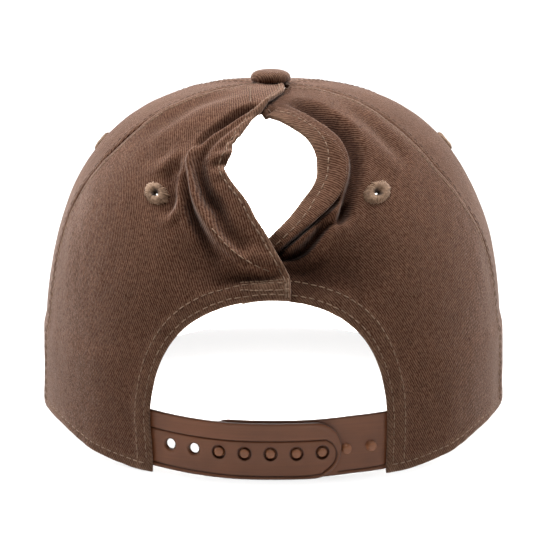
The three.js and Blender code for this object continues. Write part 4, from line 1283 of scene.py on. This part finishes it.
def twill(name):
    finish = Finish(name, {"Roughness": 0.93, "Specular IOR Level": 0.12, "Sheen Weight": 0.42,
                           "Sheen Roughness": 0.3, "Sheen Tint": (1, 0.8, 0.7, 1)})
    weave = finish.node("UVMap", {}, uv_map="weave")
    drift = finish.noise(weave, 0.11, 2.0, output="Color")
    drift = finish.node("VectorMath", {0: drift, 1: (0.5, 0.5, 0.5)}, operation="SUBTRACT")
    drift = finish.node("VectorMath", {0: drift, 3: 1.4}, operation="SCALE")
    cloth = finish.node("VectorMath", {0: weave, 1: drift}, operation="ADD")
    wales = finish.wave(cloth, WALE, "X", **{"Distortion": 1.0, "Detail Scale": 2.5})
    floats = finish.noise(finish.node("Mapping", {0: cloth, 3: (1.5, 0.75, 1)}), 1.0, 2.0, 0.7)
    fluff = finish.noise(cloth, 1.1, 3.0, 0.75)
    clouds = finish.noise(weave, 0.045, 3.0)
    faded = finish.noise(weave, 0.2, 3.0, 0.6)
    finish.bump(finish.scaled(wales, 0.5, finish.scaled(floats, 1.2, fluff)), 0.8, 0.00025)

    cloudy = finish.scaled(clouds, 2.5, -0.75, clamp=True)
    colour = finish.blend(cloudy, (*GROUND, 1), (*CLOUDED, 1))
    share = finish.scaled(wales, 0.95, finish.scaled(floats, 2.6, -1.3), clamp=True)
    colour = finish.blend(share, finish.tinted(colour, DEEP), finish.tinted(colour, LIGHT))
    colour = finish.blend(finish.scaled(fluff, 3.0, -1.8, clamp=True), colour, PALE)
    rubbed = finish.scaled(finish.stored("wear"), finish.scaled(faded, 0.8, -0.04), clamp=True)
    colour = finish.blend(rubbed, colour, PALE)
    wash = finish.scaled(faded, 0.55, 0.72)
    colour = finish.blend(1.0, colour, finish.node("CombineColor", {0: wash, 1: wash, 2: wash}), "MULTIPLY")
    # Painted shade: the colour is darkened deep in the folds' valleys.
    finish.link(finish.blend(finish.stored("painted_shade"), colour, finish.tinted(colour, FOLD_SHADE)), "Base Color")
    return finish.material


# %% Thread, tape, backing and plastic
def thread_finish(name, low, high, scale=900.0):
    """Twisted thread: slanting strands in two tones, with painted shade where it goes down into a hole."""
    finish = Finish(name, {"Roughness": 0.7, "Specular IOR Level": 0.35, "Sheen Weight": 0.1,
                           "Sheen Roughness": 0.4})
    place = finish.node("TexCoord", {}, "Object")
    strands, patches = finish.noise(place, scale, 3.0), finish.noise(place, scale / 5, 2.0)
    colour = finish.between(finish.scaled(strands, 0.7, finish.scaled(patches, 0.6)), 0.42, low, 0.82, high)
    # Painted shade: darker where the thread goes down into a hole.
    shadow = finish.tinted(colour, (0.12, 0.1, 0.1))
    finish.link(finish.blend(finish.stored("painted_shade"), colour, shadow), "Base Color")
    finish.bump(strands, 0.5, 0.00015)
    return finish.material


def pale_cloth(name, colour):
    """A plain weave of pale cotton, slightly fuzzy."""
    finish = Finish(name, {"Roughness": 0.9, "Sheen Weight": 0.2})
    weave = finish.node("UVMap", {}, uv_map="weave")
    warp, weft = (finish.wave(weave, 0.6, way, Distortion=1.2) for way in "XY")
    height = finish.scaled(warp, weft, finish.scaled(finish.noise(weave, 1.5, 3.0), 0.6))
    finish.link(finish.between(height, 0.15, [0.84 * c for c in colour], 0.9, colour), "Base Color")
    finish.bump(height, 0.5, 0.0002)
    return finish.material


def strap_plastic(name):
    """Soft moulded plastic: satin, with faint scuffs along it, a fine grain from the mould, and painted
    shade in its grooves and along its edges."""
    finish = Finish(name, {"Specular IOR Level": 0.45})
    place = finish.node("TexCoord", {}, "Object")
    grain, clouds = finish.noise(place, 2600.0, 2.0), finish.noise(place, 70.0, 3.0)
    scuffs = finish.noise(finish.node("Mapping", {0: place, 3: (40, 40, 1500)}), 1.0, 4.0)
    share = finish.scaled(clouds, 0.6, finish.scaled(scuffs, 0.4))
    colour = finish.between(share, 0.3, (0.142, 0.047, 0.0165), 0.7, (0.208, 0.071, 0.027))
    # Painted shade: the colour is darkened in the moulded grooves and along the edges.
    groove_shade = finish.tinted(colour, (0.22, 0.2, 0.2))
    colour = finish.blend(finish.stored("wear"), colour, finish.tinted(colour, (1.45, 1.65, 1.9)))
    finish.link(finish.blend(finish.stored("painted_shade"), colour, groove_shade), "Base Color")
    finish.link(finish.scaled(scuffs, 0.22, 0.36), "Roughness")
    finish.bump(finish.scaled(scuffs, 0.5, grain), 0.16, 0.0001)
    return finish.material


cap_twill = twill("cap_twill")
sewing_thread = thread_finish("sewing_thread", (0.13, 0.072, 0.042), (0.26, 0.16, 0.1))
seam_thread = thread_finish("seam_thread", (0.06, 0.03, 0.018), (0.11, 0.06, 0.038))
eyelet_floss = thread_finish("eyelet_floss", (0.135, 0.07, 0.038), (0.31, 0.19, 0.115), 1200)
tape_cotton = pale_cloth("tape_cotton", (0.80, 0.78, 0.74))
fused_backing = pale_cloth("fused_backing", (0.84, 0.83, 0.80))
brown_plastic = strap_plastic("brown_plastic")

smooth_panels = [left_side, right_side, front]
dressed = {
    cap_twill: [*(panel.piece for panel in (left_back, right_back, *smooth_panels)), covered_button,
                peak_cover],
    sewing_thread: [left_back.stitches, right_back.stitches, peak_stitching],
    seam_thread: [panel.stitches for panel in smooth_panels],
    eyelet_floss: eyelets,
    tape_cotton: [sweatband_tape, band_stitching],
    brown_plastic: [hole_tongue, peg_tongue],
}
for material, wearers in dressed.items():
    for piece in wearers:
        piece.data.materials.append(material)
front.piece.data.materials.append(fused_backing)
behind = np.zeros(len(front.piece.data.polygons), int)
behind[front.triangles:2 * front.triangles] = 1
front.piece.data.polygons.foreach_set("material_index", behind)
print({material.name: len(wearers) for material, wearers in dressed.items()})

# %% [markdown]
# ## Table and light
#
# The photograph was taken against bright white, and the cap is dark in the middle and lighter towards its
# outline. So the tent round it is bright ahead of the cap and dark on the photographer's side, and three
# large soft lamps stand overhead and ahead, where they brighten the edges of the crown. A small lamp inside
# keeps the linings from going black. The table is a floor that runs back until it fills the picture. It
# has a lamp of its own that lights nothing else, because one strong enough to make it white would flatten
# the folds.

# %% Pale table and soft lamps
FLOOR = 14  # m from the middle to its edges
floor_mesh = bpy.data.meshes.new("pale_table")
floor_mesh.from_pydata([(-FLOOR, -FLOOR, 0), (FLOOR, -FLOOR, 0), (FLOOR, FLOOR, 0), (-FLOOR, FLOOR, 0)],
                       [], [(0, 1, 2, 3)])
pale_table = put_in_scene("pale_table", floor_mesh)
floor_mesh.materials.append(
    Finish("table_finish", {"Base Color": (0.2, 0.2, 0.2, 1), "Roughness": 0.8}).material)
pale_table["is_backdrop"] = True

world = bpy.data.worlds.new("white_tent")
world.use_nodes = True
tent = world.node_tree
way = tent.nodes.new("ShaderNodeSeparateXYZ")
glow = tent.nodes.new("ShaderNodeMapRange")
glow.interpolation_type = "SMOOTHSTEP"
for key, value in (("From Min", -0.2), ("From Max", 0.8), ("To Min", 0.04), ("To Max", 1.2)):
    glow.inputs[key].default_value = value
tent.links.new(tent.nodes.new("ShaderNodeTexCoord").outputs["Generated"], way.inputs[0])
tent.links.new(way.outputs["Y"], glow.inputs["Value"])
tent.links.new(glow.outputs[0], tent.nodes["Background"].inputs["Strength"])
tent.nodes["Background"].inputs["Color"].default_value = (1, 1, 1, 1)
bpy.context.scene.world = world
bpy.context.scene.view_settings.view_transform = "Standard"


def soft_lamp(name, place, size, watts, aim=look_at):
    data = bpy.data.lights.new(name, "AREA")
    data.shape, data.size, data.energy = "SQUARE", size, watts
    lamp = put_in_scene(name, data)
    lamp.location = look_at + Vector(place)
    lamp.rotation_euler = (lamp.location - aim).to_track_quat("Z", "Y").to_euler()
    return lamp


soft_lamp("overhead_lamp", (0, 0.3, 2.3), 1.5, 85)
soft_lamp("left_lamp", (-1.6, 0.7, 1.2), 1.4, 62)
soft_lamp("right_lamp", (1.6, 0.7, 1.2), 1.4, 47)
inner_lamp = soft_lamp("inner_lamp", (0, -0.02, -0.02), 0.03, 0.7, look_at + Vector((0, 0.2, -0.01)))
inner_lamp.visible_camera = False

table_only = bpy.data.collections.new("table_only")
table_only.objects.link(pale_table)
table_light = bpy.data.lights.new("table_lamp", "SUN")
table_light.energy, table_light.angle = 11.0, 0.5
table_lamp = put_in_scene("table_lamp", table_light)
table_lamp.light_linking.receiver_collection = table_only
table_lamp.light_linking.blocker_collection = table_only

# %% [markdown]
# ## What each cloth was cut from
#
# Each panel's flat cut is printed, in centimetres. The five panels are the cap's sheets. The two at the
# back are gathered round the slit, and the other three are stretched smooth from seam to seam.

for panel, held in ((left_back, "gathered"), (right_back, "gathered"), (left_side, "stretched"),
                    (right_side, "stretched"), (front, "stretched")):
    print(panel.piece.name, "was cut from", (panel.flat_size / 10).round(1), "cm")

dressed_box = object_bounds()
({"cad": [list(corner) for corner in cad_box],
           "dressed": [list(corner) for corner in dressed_box]})
print("the dressed cap measures", [round(side * 1000, 1) for side in dressed_box[1] - dressed_box[0]], "mm")
